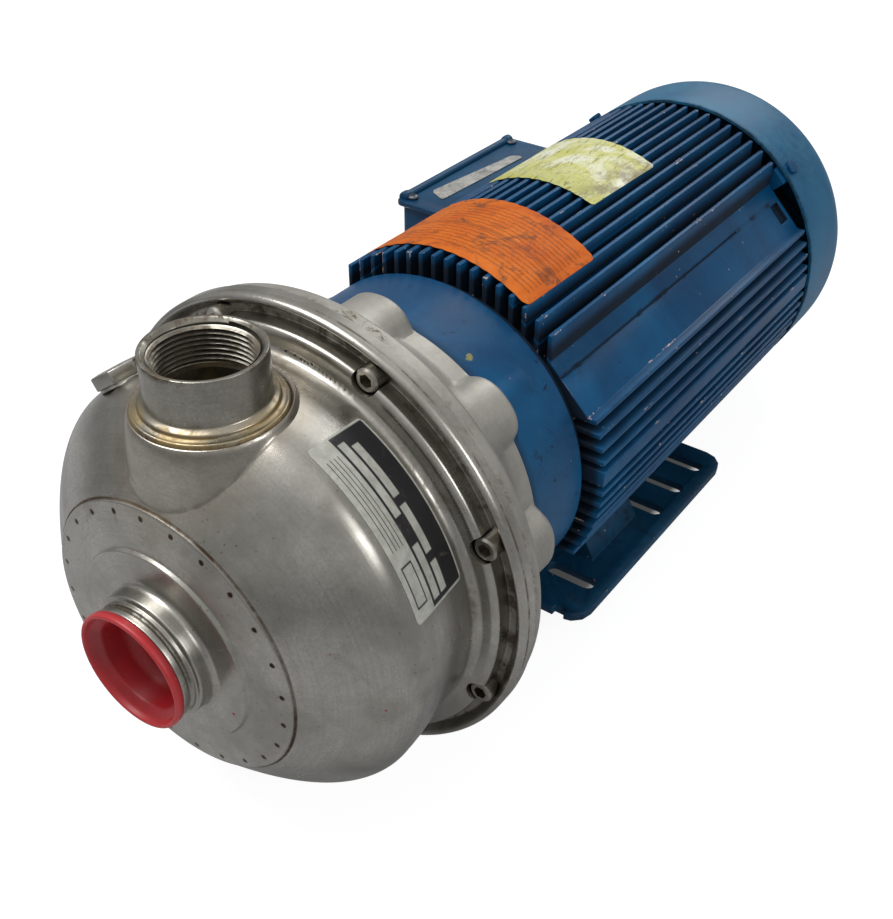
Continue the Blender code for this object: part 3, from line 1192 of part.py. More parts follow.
def build_foot():
    """Foot: slotted plate, saddle under the frame and side gussets, with its two bolts."""
    foot = add_object("foot", extruded([rounded_rectangle(FOOT_HALF_WIDTH, FOOT_HALF_LENGTH, FOOT_CORNER)],
                                       FOOT_THICK), PAINT)
    base = FOOT_THICK / 2
    cradle = [belly_point(step, GAP) for step in range(SADDLE_STEPS, -SADDLE_STEPS - 1, -1)]
    width = cradle[0][0]
    saddle = [(-width, base), (width, base)] + cradle
    tools = [add_object("saddle", extruded([saddle], SADDLE_HALF_LENGTH * 2),
                        location=(0, SADDLE_HALF_LENGTH, 0), rotation=FORWARD)]
    for side in (-1, 1):
        wing = [belly_point(step, GAP) for step in range(GUSSET_STEPS, SADDLE_STEPS, -1)]
        wing.append(belly_point(SADDLE_STEPS, 2 * GAP))
        inner = width - FOOT_THICK
        points = [(inner, base), (GUSSET_HALF_WIDTH, base), (GUSSET_HALF_WIDTH, FOOT_THICK + 0.002)]
        points += wing + [(inner, FOOT_THICK * 2)]
        outline = [(side * x, z) for x, z in points]
        tools.append(add_object("gusset", extruded([outline], GUSSET_REAR_Y - GUSSET_FRONT_Y),
                                location=(0, GUSSET_REAR_Y, 0), rotation=FORWARD))
    for tool in tools:
        change(foot, [tool], 'UNION')
    half = NOTCH_SIZE / 2
    notch = blocks([((NOTCH_X - half, -FOOT_HALF_LENGTH - OVERCUT, -OVERCUT),
                     (NOTCH_X + half, -FOOT_HALF_LENGTH + half, FOOT_THICK + OVERCUT))])
    change(foot, [add_object("notch", notch)])
    slot = extruded([rounded_rectangle(SLOT_LENGTH / 2, SLOT_WIDTH / 2, SLOT_WIDTH / 2 - 0.0001)], FOOT_THICK * 2)
    for spacing in SLOT_SPACINGS:
        for side in (-1, 1):
            place = (side * (SLOT_OUTER_X - SLOT_LENGTH / 2), FRONT_SLOT_Y + spacing, -FOOT_THICK / 2)
            change(foot, [add_object("slot", slot, location=place)])
    for y in (-FOOT_BOLT_Y, FOOT_BOLT_Y):
        recess = ((0, y, -OVERCUT), (0, y, FOOT_BOLT_HEAD_H + 2 * GAP), FOOT_BOLT_HEAD_R + 0.0005)
        hole = ((0, y, 0), (0, y, SHAFT_HEIGHT - CORE_R + OVERCUT), FOOT_BOLT_R + GAP)
        change(foot, [add_object("bolt_recess", rods([recess]))])
        change(foot, [add_object("bolt_hole", rods([hole]))])
    seat = FOOT_BOLT_HEAD_H + GAP
    shank = SHAFT_HEIGHT - CORE_R + FOOT_BOLT_REACH - seat
    bolt = lathe([(-FOOT_BOLT_HEAD_H, 0), (-FOOT_BOLT_HEAD_H, FOOT_BOLT_HEAD_R), (0, FOOT_BOLT_HEAD_R),
                  (0, FOOT_BOLT_R), (shank, FOOT_BOLT_R), (shank, 0)], SMALL)
    add_object("foot_bolt_1", bolt, STEEL, (0, -FOOT_BOLT_Y, seat))
    add_object("foot_bolt_2", bolt, STEEL, (0, FOOT_BOLT_Y, seat))


def lid_screw_places():
    """Corner places of the terminal box lid's screws, on the box's centre."""
    half_x = (BOX_OUTER_X - BOX_INNER_X) / 2 - LID_SCREW_INSET
    half_y = BOX_LENGTH / 2 - LID_SCREW_INSET
    return [(half_x, half_y), (-half_x, half_y), (-half_x, -half_y), (half_x, -half_y)]


def build_terminal_box():
    """Terminal box on the frame's side, its lid, screws and terminal block."""
    half_x = (BOX_OUTER_X - BOX_INNER_X - GAP) / 2
    half_y = BOX_LENGTH / 2
    centre_x = -(BOX_OUTER_X + BOX_INNER_X + GAP) / 2
    centre_y = BOX_FRONT_Y + half_y
    floor = SHAFT_HEIGHT + BOX_BOTTOM
    top = SHAFT_HEIGHT + BOX_TOP
    depth = BOX_TOP - BOX_BOTTOM
    box = add_object("terminal_box", extruded([rounded_rectangle(half_x, half_y, BOX_CORNER)], depth),
                     PAINT, (centre_x, centre_y, floor))
    hollow = extruded([rounded_rectangle(half_x - BOX_WALL, half_y - BOX_WALL, BOX_HOLLOW_R)], depth)
    change(box, [add_object("box_hollow", hollow, location=(centre_x, centre_y, floor + BOX_WALL))])
    holes = []
    for x, y in lid_screw_places():
        place = (centre_x + x, centre_y + y)
        holes.append(((*place, top - LID_SCREW_REACH), (*place, top + OVERCUT), LID_SCREW_SHANK_R + GAP))
    conduit_y = centre_y - CONDUIT_SETBACK
    conduit = ((centre_x, conduit_y, floor - OVERCUT),
               (centre_x, conduit_y, floor + BOX_WALL + OVERCUT), CONDUIT_R)
    for lines in (holes, [conduit], [wire_way()]):
        change(box, [add_object("box_holes", rods(lines))])
    lid_z = top + GAP
    lid_outline = rounded_rectangle(half_x + LID_OVERHANG / 2, half_y + LID_OVERHANG, BOX_CORNER)
    lid_x = centre_x - LID_OVERHANG / 2
    lid = add_object("terminal_box_lid", extruded([lid_outline], LID_THICK), PAINT, (lid_x, centre_y, lid_z))
    edge_x = lid_x - half_x - LID_OVERHANG / 2 + LID_BEAD_R + GAP
    run = half_y - BOX_CORNER
    bead_z = lid_z + LID_THICK
    bead = rods([((edge_x, centre_y - run, bead_z), (edge_x, centre_y + run, bead_z), LID_BEAD_R)], SMALL)
    change(lid, [add_object("bead", bead)], 'UNION')
    lid_holes = [((x, y, lid_z - OVERCUT), (x, y, bead_z + OVERCUT), radius) for (x, y, _), _, radius in holes]
    change(lid, [add_object("lid_holes", rods(lid_holes))])
    profile = [(GAP - LID_THICK - LID_SCREW_REACH + 0.001, 0), (GAP - LID_THICK - LID_SCREW_REACH + 0.001,
               LID_SCREW_SHANK_R), (0, LID_SCREW_SHANK_R), (0, LID_SCREW_R), (0.001, LID_SCREW_R),
               (0.002, LID_SCREW_R * 0.6), (0.002, 0)]
    mesh = lathe(profile, SMALL)
    for index, (x, y) in enumerate(lid_screw_places()):
        place = (centre_x + x, centre_y + y, bead_z + GAP)
        add_object(f"lid_screw_{index + 1}", mesh, STEEL, place)
    size_x, size_y, size_z = BLOCK_SIZE
    block_y = centre_y + BLOCK_SETBACK
    block = add_object("terminal_block", blocks([((-size_x / 2, -size_y / 2, 0), (size_x / 2, size_y / 2, size_z))]),
                       BLACK_PLASTIC, (centre_x, block_y, floor + BOX_WALL + GAP))
    studs = [((centre_x, block_y + step, floor + 0.006), (centre_x, block_y + step, floor + size_z + 0.010), 0.002)
             for step in (-0.013, 0, 0.013)]
    change(block, [add_object("studs", rods(studs, 8))], 'UNION')


def main():
    """Build every sub-part of the pump."""
    build_casing()
    build_casing_screws()
    build_plugs()
    build_suction_cap()
    build_impeller()
    build_guide_vane()
    build_seal_housing()
    build_mechanical_seal()
    build_shaft()
    build_bearing("front_bearing", FRONT_BEARING_Y, FRONT_BEARING_WIDTH, FRONT_BEARING_BORE_R, FRONT_BEARING_R)
    build_bearing("rear_bearing", REAR_BEARING_Y, REAR_BEARING_WIDTH, REAR_BEARING_BORE_R, REAR_BEARING_R)
    build_adapter()
    build_front_shield()
    build_frame()
    build_core()
    build_rear_shield()
    build_fan()
    build_fan_cover()
    build_foot()
    build_terminal_box()


main()
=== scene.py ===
"""Looks of a close-coupled centrifugal pump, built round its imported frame.

The stainless casing, the cast adapter and the blue motor are modelled again with fine surfaces over
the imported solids, and every solid that stays gets a procedural finish.
"""

import logging
import math
from dataclasses import dataclass, field
from enum import Enum
from functools import reduce
from typing import Callable, Optional, Sequence, Union

import bmesh
import bpy
from mathutils import Matrix, Vector


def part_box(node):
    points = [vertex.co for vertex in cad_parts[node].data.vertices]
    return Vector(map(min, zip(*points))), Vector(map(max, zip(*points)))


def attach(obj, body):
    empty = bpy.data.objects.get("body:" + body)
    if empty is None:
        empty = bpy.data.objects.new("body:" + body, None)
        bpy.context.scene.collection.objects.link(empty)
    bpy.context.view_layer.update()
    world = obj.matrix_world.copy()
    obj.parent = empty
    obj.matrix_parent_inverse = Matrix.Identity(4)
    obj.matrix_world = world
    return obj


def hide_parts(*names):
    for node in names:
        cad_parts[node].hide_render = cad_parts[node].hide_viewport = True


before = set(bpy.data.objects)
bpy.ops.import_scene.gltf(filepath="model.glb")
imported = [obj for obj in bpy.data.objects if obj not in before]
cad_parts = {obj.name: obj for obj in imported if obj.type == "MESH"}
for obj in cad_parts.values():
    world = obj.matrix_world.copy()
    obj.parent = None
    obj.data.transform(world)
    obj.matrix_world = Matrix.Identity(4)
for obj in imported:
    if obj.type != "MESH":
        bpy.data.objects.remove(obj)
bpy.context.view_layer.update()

logging.basicConfig(level=logging.INFO, format="%(message)s")
log = logging.getLogger("pump")

Shape = bmesh.types.BMesh
Edges = list[bmesh.types.BMEdge]
Material = bpy.types.Material
Socket = bpy.types.NodeSocket
Color = tuple[float, float, float]
Corner = tuple[float, ...]
Point = tuple[float, float, float]
Pair = tuple[float, float]

SHAFT_HEIGHT = 0.0889
PORT_Y = -0.23275
DISC_Y = -0.26875
NOZZLE_END_Y = -0.28825
JOINT_Y = -0.17725
FACE_Y = -0.12845
BELL_END_Y = -0.08645
FRAME_Y = -0.08195
COVER_Y = 0.16695
COVER_END_Y = 0.22645
CLEARANCE = 0.0003
QUARTERS = (45.0, 135.0, 225.0, 315.0)


class Body(Enum):
    """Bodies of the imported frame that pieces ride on."""

    PUMP = "pump_body"
    CAP = "cap"


class Slot(Enum):
    """Material slots of the record."""

    STAINLESS = "stainless"
    CASTING = "casting"
    STEEL = "steel"
    PAINT = "paint"
    RED = "red_plastic"


@dataclass(frozen=True)
class Line:
    """An axis with the direction in which a turned profile's radius runs."""

    origin: Point
    along: Point
    aside: Point

    def at(self, station: float, radius: float) -> Vector:
        """Point at a place along the axis and a distance from it."""
        return Vector(self.origin) + Vector(self.along) * station + Vector(self.aside) * radius


SHAFT = Line((0.0, 0.0, SHAFT_HEIGHT), (0.0, 1.0, 0.0), (0.0, 0.0, 1.0))
PORT = Line((0.0, PORT_Y, SHAFT_HEIGHT), (0.0, 0.0, 1.0), (1.0, 0.0, 0.0))


def around(angle: float, radius: float, station: float) -> Vector:
    """Place a point about the shaft.

    Args:
        angle: Degrees from the top towards +X.
        radius: Distance from the shaft's axis.
        station: Place along Y.

    Returns:
        The point in the frame.
    """
    turn = math.radians(angle)
    return Vector((radius * math.sin(turn), station, SHAFT_HEIGHT + radius * math.cos(turn)))


def outward_at(angle: float) -> Vector:
    """Direction away from the shaft at an angle in degrees."""
    return around(angle, 1.0, 0.0) - around(angle, 0.0, 0.0)


def smooth_step(low: float, high: float, value: float) -> float:
    """Share from 0 to 1 that rises softly between two values."""
    share = min(max((value - low) / (high - low), 0.0), 1.0)
    return share * share * (3 - 2 * share)


def smooth_max(first: float, second: float, width: float) -> float:
    """Larger of two values, with a soft change within a width."""
    share = max(width - abs(first - second), 0.0) / width
    return max(first, second) + share * share * width / 4


def smooth_min(first: float, second: float, width: float) -> float:
    """Smaller of two values, with a soft change within a width."""
    return -smooth_max(-first, -second, width)


def curve(start: Vector, corner: Vector, stop: Vector, shares: Sequence[float]) -> list[Pair]:
    """Points of a curve that leans towards a corner.

    Args:
        start: Where it starts.
        corner: The corner.
        stop: Where it ends.
        shares: Places on it from 0 to 1.

    Returns:
        The points at those places.
    """
    return [tuple(start * (1 - share) ** 2 + corner * 2 * share * (1 - share) + stop * share ** 2)
            for share in shares]


def rounded(corners: Sequence[Corner], closed: bool = True, steps: int = 5) -> list[Pair]:
    """Round the corners of a profile.

    Args:
        corners: (station, radius) pairs, with the size of the rounding as a third value where there is one.
        closed: Whether the last corner joins the first.
        steps: Pieces of each rounding.

    Returns:
        The profile's points.
    """
    points: list[Pair] = []
    count = len(corners)
    for index, corner in enumerate(corners):
        here = Vector(corner[:2])
        if len(corner) < 3 or (not closed and index in (0, count - 1)):
            points.append(tuple(here))
            continue
        before = Vector(corners[index - 1][:2]) - here
        after = Vector(corners[(index + 1) % count][:2]) - here
        start = here + before.normalized() * min(corner[2], before.length * 0.48)
        stop = here + after.normalized() * min(corner[2], after.length * 0.48)
        points += curve(start, here, stop, [step / steps for step in range(steps + 1)])
    return points


def bend(start: Corner, corner: Corner, end: Corner, steps: int) -> list[Pair]:
    """Points of a curve from a start to an end that leans towards a corner, without its ends."""
    return curve(Vector(start), Vector(corner), Vector(end), [step / steps for step in range(1, steps)])


def evenly(start: Corner, end: Corner, steps: int) -> list[Pair]:
    """Points in even steps from a start to an end, with both."""
    (x0, y0), (x1, y1) = start, end
    return [(x0 + (x1 - x0) * step / steps, y0 + (y1 - y0) * step / steps) for step in range(steps + 1)]


def turned(profile: Sequence[Pair], line: Line, segments: int = 160,
           closed: bool = True) -> Shape:
    """Spin a profile about an axis.

    Args:
        profile: (station, radius) pairs along and away from the axis.
        line: The axis.
        segments: Faces round the axis.
        closed: Whether the profile is a loop.

    Returns:
        The turned shape.
    """
    shape = bmesh.new()
    points = [shape.verts.new(line.at(station, radius)) for station, radius in profile]
    edges = [shape.edges.new(pair) for pair in zip(points, points[1:])]
    if closed:
        edges.append(shape.edges.new((points[-1], points[0])))
    bmesh.ops.spin(shape, geom=points + edges, cent=line.origin, axis=line.along, angle=2 * math.pi,
                   steps=segments, use_merge=True)
    bmesh.ops.remove_doubles(shape, verts=shape.verts, dist=1e-6)
    bmesh.ops.recalc_face_normals(shape, faces=shape.faces)
    return shape


def shade(mesh: bpy.types.Mesh, sharp: float) -> None:
    """Shade a mesh smooth up to an angle in degrees."""
    mesh.shade_smooth()
    mesh.set_sharp_from_angle(angle=math.radians(sharp))


def finish_mesh(shape: Shape, name: str, sharp: float = 35.0) -> bpy.types.Mesh:
    """Turn a shape into a mesh, using it up.

    Args:
        shape: The shape.
        name: Name of the mesh.
        sharp: Angle in degrees past which an edge shows.

    Returns:
        The mesh.
    """
    mesh = bpy.data.meshes.new(name)
    shape.to_mesh(mesh)
    shape.free()
    shade(mesh, sharp)
    return mesh


def place_object(name: str, data: bpy.types.ID) -> bpy.types.Object:
    """Put a mesh, a lamp or a camera in the scene.

    Args:
        name: Name of the object.
        data: What it shows.

    Returns:
        The object.
    """
    made = bpy.data.objects.new(name, data)
    bpy.context.scene.collection.objects.link(made)
    return made


def add_piece(name: str, shape: Shape, material: Material,
              stands_for: Sequence[str] = (), body: Body = Body.PUMP,
              sharp: float = 35.0) -> bpy.types.Object:
    """Add a finished piece to the pump.

    Args:
        name: Name of the piece.
        shape: Its shape in the frame.
        material: Its finish.
        stands_for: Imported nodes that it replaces.
        body: Body that it rides on.
        sharp: Angle in degrees past which an edge shows.

    Returns:
        The piece.
    """
    piece = place_object(name, finish_mesh(shape, name, sharp))
    piece.data.materials.append(material)
    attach(piece, body.value)
    if stands_for:
        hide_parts(*stands_for)
    log.info("%s: %d faces", name, len(piece.data.polygons))
    return piece


def carve(piece: bpy.types.Object, cutters: Sequence[Shape], sharp: float = 35.0) -> None:
    """Cut a piece by shapes and keep the result as its mesh.

    Args:
        piece: The piece.
        cutters: The cutting shapes, used up here.
        sharp: Angle in degrees past which an edge shows.
    """
    tool = place_object("cutter", finish_mesh(joined(cutters), "cutter"))
    boolean = piece.modifiers.new("carve", "BOOLEAN")
    boolean.operation = "DIFFERENCE"
    boolean.solver = "EXACT"
    boolean.object = tool
    bpy.context.view_layer.update()
    mesh = bpy.data.meshes.new_from_object(piece.evaluated_get(bpy.context.evaluated_depsgraph_get()))
    piece.modifiers.clear()
    piece.data = mesh
    bpy.data.objects.remove(tool)
    shade(mesh, sharp)


def merged_copy(node: str, width: float, segments: int = 2, angle: float = 28.0,
                shortest: float = 0.0) -> Shape:
    """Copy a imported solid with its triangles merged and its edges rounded.

    Args:
        node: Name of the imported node.
        width: Width of the rounding.
        segments: Faces across the rounding.
        angle: Smallest angle in degrees of an edge that is rounded.
        shortest: Shortest edge that is rounded.

    Returns:
        The shape, whose face layer "wear" is 1 on the rounded edges.
    """
    shape = bmesh.new()
    shape.from_mesh(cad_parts[node].data)
    bmesh.ops.remove_doubles(shape, verts=shape.verts, dist=1e-5)
    bmesh.ops.dissolve_limit(shape, angle_limit=math.radians(1.0), verts=shape.verts, edges=shape.edges)
    wear = shape.faces.layers.float.new("wear")
    edges = [edge for edge in shape.edges if len(edge.link_faces) == 2 and edge.calc_length() > shortest
             and edge.calc_face_angle(0.0) > math.radians(angle)]
    made = bmesh.ops.bevel(shape, geom=edges, offset=width, offset_type="OFFSET", segments=segments,
                           profile=0.5, affect="EDGES", clamp_overlap=False, material=-1)
    for face in made["faces"]:
        face[wear] = 1.0
    return shape


def loop_edges(verts: Sequence[bmesh.types.BMVert]) -> Edges:
    """Edges whose two ends are both among some vertices."""
    chosen = set(verts)
    return list({edge for vert in verts for edge in vert.link_edges if edge.other_vert(vert) in chosen})


def raised(shape: Shape, made: dict, rise: float, scale: float = 1.0) -> list[bmesh.types.BMVert]:
    """Move what an extrusion has made along local Z.

    Args:
        shape: The shape.
        made: What the extrusion returned.
        rise: How far it moves.
        scale: How much wider it gets.

    Returns:
        The moved vertices.
    """
    verts = [item for item in made["geom"] if isinstance(item, bmesh.types.BMVert)]
    bmesh.ops.scale(shape, vec=(scale, scale, 1.0), verts=verts)
    bmesh.ops.translate(shape, vec=(0.0, 0.0, rise), verts=verts)
    return verts


def step_loop(shape: Shape, edges: Edges, scale: float, rise: float) -> Edges:
    """Extrude a loop about local Z.

    Args:
        shape: The shape.
        edges: The loop.
        scale: How much wider the new loop is.
        rise: How much higher it lies.

    Returns:
        The new loop.
    """
    return loop_edges(raised(shape, bmesh.ops.extrude_edge_only(shape, edges=edges), rise, scale))


def moved(shape: Shape, matrix: Matrix) -> Shape:
    """Move a shape and give it back."""
    bmesh.ops.transform(shape, matrix=matrix, verts=shape.verts)
    return shape


def turned_about(place: Corner, angle: float) -> Matrix:
    """Turn by degrees about Y, then go to a place."""
    return Matrix.Translation(place) @ Matrix.Rotation(math.radians(angle), 4, "Y")


def rod(radius: float, depth: float, segments: int, middle: Point = (0.0, 0.0, 0.0)) -> Shape:
    """Closed cylinder along Z.

    Args:
        radius: Its radius.
        depth: Its length.
        segments: Faces round it.
        middle: Its middle.

    Returns:
        The cylinder.
    """
    shape = bmesh.new()
    bmesh.ops.create_cone(shape, cap_ends=True, segments=segments, radius1=radius, radius2=radius,
                          depth=depth, matrix=Matrix.Translation(middle))
    return shape


@dataclass(frozen=True)
class SocketHead:
    """Cap screw head with a hexagon socket, standing on local Z."""

    radius: float
    height: float
    across_flats: float
    depth: float
    chamfer: float = 0.0006

    def shape(self) -> Shape:
        """Model the head from two loops bridged at the top.

        Returns:
            The head.
        """
        shape = bmesh.new()
        top = Matrix.Translation((0.0, 0.0, self.height))
        inner = self.radius - self.chamfer
        rim = bmesh.ops.create_circle(shape, segments=48, radius=inner, matrix=top)["verts"]
        socket = bmesh.ops.create_circle(shape, segments=6, radius=self.across_flats / math.sqrt(3),
                                         matrix=top)["verts"]
        rim_edges = loop_edges(rim)
        bmesh.ops.subdivide_edges(shape, edges=loop_edges(socket), cuts=7)
        socket_edges = [edge for edge in shape.edges if edge not in set(rim_edges)]
        bmesh.ops.bridge_loops(shape, edges=rim_edges + socket_edges)
        floor = step_loop(shape, socket_edges, 1.0, -self.depth)
        floor = step_loop(shape, floor, 0.1, -self.depth * 0.2)
        bmesh.ops.contextual_create(shape, geom=floor)
        side = step_loop(shape, rim_edges, self.radius / inner, -self.chamfer)
        side = step_loop(shape, side, 1.0, self.chamfer - self.height)
        bmesh.ops.contextual_create(shape, geom=side)
        bmesh.ops.recalc_face_normals(shape, faces=shape.faces)
        return shape


@dataclass(frozen=True)
class HexHead:
    """Hexagon head with a round seat, standing on local Z."""

    across_flats: float
    height: float
    seat: float = 0.0012

    def shape(self) -> Shape:
        """Model the head and round its edges.

        Returns:
            The head.
        """
        shape = bmesh.new()
        radius = self.across_flats / math.sqrt(3)
        low = Matrix.Translation((0.0, 0.0, self.seat))
        bmesh.ops.create_circle(shape, cap_ends=True, segments=6, radius=radius, matrix=low)
        raised(shape, bmesh.ops.extrude_face_region(shape, geom=list(shape.faces)), self.height - self.seat)
        bmesh.ops.bevel(shape, geom=shape.edges, offset=0.0007, segments=3, profile=0.5, affect="EDGES",
                        clamp_overlap=True, material=-1)
        disc = Matrix.Translation((0.0, 0.0, self.seat * 0.5))
        bmesh.ops.create_cone(shape, cap_ends=True, segments=48, radius1=self.across_flats * 0.52,
                              radius2=self.across_flats * 0.5, depth=self.seat, matrix=disc)
        bmesh.ops.recalc_face_normals(shape, faces=shape.faces)
        return shape


@dataclass(frozen=True)
class PanHead:
    """Low domed screw head with a cross slot, standing on local Z."""

    radius: float
    height: float

    def shape(self) -> Shape:
        """Model the dome by a turned profile and press a cross in it.

        Returns:
            The head.
        """
        line = Line((0.0, 0.0, 0.0), (0.0, 0.0, 1.0), (1.0, 0.0, 0.0))
        profile = rounded([(self.height, 0.0), (self.height * 0.96, self.radius * 0.55),
                           (self.height * 0.62, self.radius * 0.97, self.radius * 0.3),
                           (0.0, self.radius, self.radius * 0.1), (0.0, 0.0)], closed=False)
        shape = turned(profile, line, 40, closed=False)
        bmesh.ops.subdivide_edges(shape, edges=[edge for edge in shape.edges
                                                if all(vert.co.z > self.height * 0.9 for vert in edge.verts)],
                                  cuts=5, use_grid_fill=True)
        for vert in shape.verts:
            reach = max(abs(vert.co.x), abs(vert.co.y))
            arm = min(abs(vert.co.x), abs(vert.co.y))
            if vert.co.z > self.height * 0.8 and reach < self.radius * 0.5 and arm < self.radius * 0.12:
                vert.co.z -= self.height * 0.35
        return shape


def stand(shape: Shape, place: Vector, outward: Vector, spin: float = 0.0) -> Shape:
    """Stand a shape's local Z along a direction at a place.

    Args:
        shape: The shape.
        place: Where its origin goes.
        outward: Direction of its local Z.
        spin: Turn about its own axis in degrees.

    Returns:
        The same shape.
    """
    turn = outward.to_track_quat("Z", "Y").to_matrix().to_4x4()
    own = Matrix.Rotation(math.radians(spin), 4, "Z")
    return moved(shape, Matrix.Translation(place) @ turn @ own)


def seat_bolt(name: str, head: SocketHead, place: Vector, spin: float, shank: Point,
              material: Material) -> None:
    """Model a cap screw that points back along the shaft.

    Args:
        name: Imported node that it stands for.
        head: Its head.
        place: Seat of the head.
        spin: Turn of the head in degrees.
        shank: The shank's radius and length, and how far behind the seat its middle lies.
        material: Its finish.
    """
    radius, length, behind = shank
    backward = Vector(SHAFT.along)
    shapes = [stand(head.shape(), place, -backward, spin),
              stand(rod(radius, length, 24), place + backward * behind, backward)]
    add_piece(f"socket_{name}", joined(shapes), material, [name], sharp=30.0)


def rounded_box(low: Point, high: Point, radius: float, axis: int, segments: int = 8) -> Shape:
    """Box whose four edges along one axis are rounded.

    Args:
        low: Lowest corner.
        high: Highest corner.
        radius: Radius of the rounded edges.
        axis: 0, 1 or 2 for X, Y or Z.
        segments: Faces round each edge.

    Returns:
        The box.
    """
    shape = bmesh.new()
    size = [b - a for a, b in zip(low, high)]
    centre = [(a + b) / 2 for a, b in zip(low, high)]
    bmesh.ops.create_cube(shape, size=1.0, matrix=Matrix.Translation(centre) @ Matrix.Diagonal((*size, 1)))
    edges = [edge for edge in shape.edges
             if abs((edge.verts[0].co - edge.verts[1].co)[axis]) > abs(size[axis]) * 0.9]
    bmesh.ops.bevel(shape, geom=edges, offset=radius, segments=segments, profile=0.5, affect="EDGES",
                    clamp_overlap=True, material=-1)
    return shape


def joined(shapes: Sequence[Shape]) -> Shape:
    """Gather several shapes in one, using them up.

    Args:
        shapes: The shapes.

    Returns:
        The one shape.
    """
    whole = bmesh.new()
    for shape in shapes:
        mesh = finish_mesh(shape, "part")
        whole.from_mesh(mesh)
        bpy.data.meshes.remove(mesh)
    return whole


class Value:
    """Output of a shader node, with which sums and products can be written."""

    def __init__(self, graph: "NodeGraph", socket: Socket) -> None:
        """Keep the graph and the output."""
        self.graph, self.socket = graph, socket

    def __add__(self, other: "Number") -> "Value":
        """Sum of two values."""
        return self.graph.calc("ADD", self, other)

    def __sub__(self, other: "Number") -> "Value":
        """Difference of two values."""
        return self.graph.calc("SUBTRACT", self, other)

    def __mul__(self, other: "Number") -> "Value":
        """Product of two values."""
        return self.graph.calc("MULTIPLY", self, other)

    def __abs__(self) -> "Value":
        """Value without its sign."""
        return self.graph.calc("ABSOLUTE", self)


Number = Union[float, Socket, Value]
Tone = Union[Color, Socket, Value]


class NodeGraph:
    """Shader nodes of one tree, made in the order in which they are asked for."""

    def __init__(self, tree: bpy.types.NodeTree) -> None:
        """Keep the tree."""
        self.tree = tree

    def node(self, kind: str, **settings: object) -> bpy.types.Node:
        """Add a node.

        Args:
            kind: Type of the node.
            **settings: Its properties.

        Returns:
            The node.
        """
        made = self.tree.nodes.new(kind)
        for key, value in settings.items():
            setattr(made, key, value)
        return made

    def feed(self, socket: Socket, value: object) -> None:
        """Set an input.

        Args:
            socket: The input.
            value: A number, a colour or what another node gives.
        """
        value = getattr(value, "socket", value)
        if isinstance(value, Socket):
            self.tree.links.new(value, socket)
        elif isinstance(value, tuple) and len(value) == 3 and socket.type == "RGBA":
            socket.default_value = (*value, 1.0)
        else:
            socket.default_value = value

    def run(self, kind: str, inputs: dict, output: Union[int, str] = 0, **settings: object) -> Value:
        """Add a node with its inputs.

        Args:
            kind: Type of the node.
            inputs: What goes in, by the input's number or name.
            output: Number or name of the output that is wanted.
            **settings: Properties of the node.

        Returns:
            The output.
        """
        made = self.node(kind, **settings)
        for key, value in inputs.items():
            self.feed(made.inputs[key], value)
        return Value(self, made.outputs[output])

    def calc(self, operation: str, *values: Number) -> Value:
        """Result of a math node."""
        return self.run("ShaderNodeMath", dict(enumerate(values)), operation=operation)

    def most(self, *values: Number) -> Value:
        """Largest of several values."""
        return reduce(lambda first, second: self.calc("MAXIMUM", first, second), values)

    def length(self, first: Value, second: Value) -> Value:
        """Distance of a point from the corner of a right angle."""
        return self.calc("SQRT", first * first + second * second)

    def ramp(self, value: Number, low: float, high: float, start: float = 0.0, stop: float = 1.0) -> Value:
        """Value that runs softly from start to stop between two limits."""
        inputs = dict(enumerate((value, low, high, start, stop)))
        return self.run("ShaderNodeMapRange", inputs, interpolation_type="SMOOTHSTEP")

    def band(self, value: Number, low: float, high: float, soft: float) -> Value:
        """Mask that is 1 between two limits and 0 outside."""
        return self.ramp(value, low - soft, low + soft) * self.ramp(value, high - soft, high + soft, 1.0, 0.0)

    def vector(self, *parts: Number) -> Value:
        """Vector of three values."""
        return self.run("ShaderNodeCombineXYZ", dict(enumerate(parts)))

    def split(self, vector: Union[Socket, Value]) -> list[Value]:
        """Take a vector apart.

        Args:
            vector: The vector.

        Returns:
            Its three values.
        """
        made = self.node("ShaderNodeSeparateXYZ")
        self.feed(made.inputs[0], vector)
        return [Value(self, output) for output in made.outputs]

    def mix(self, share: Number, first: Tone, second: Tone) -> Value:
        """Colour between two colours."""
        return self.run("ShaderNodeMix", {0: share, 6: first, 7: second}, 2, data_type="RGBA")

    def blend(self, share: Number, first: Number, second: Number) -> Value:
        """Number between two numbers."""
        return self.run("ShaderNodeMix", {0: share, 2: first, 3: second}, data_type="FLOAT")


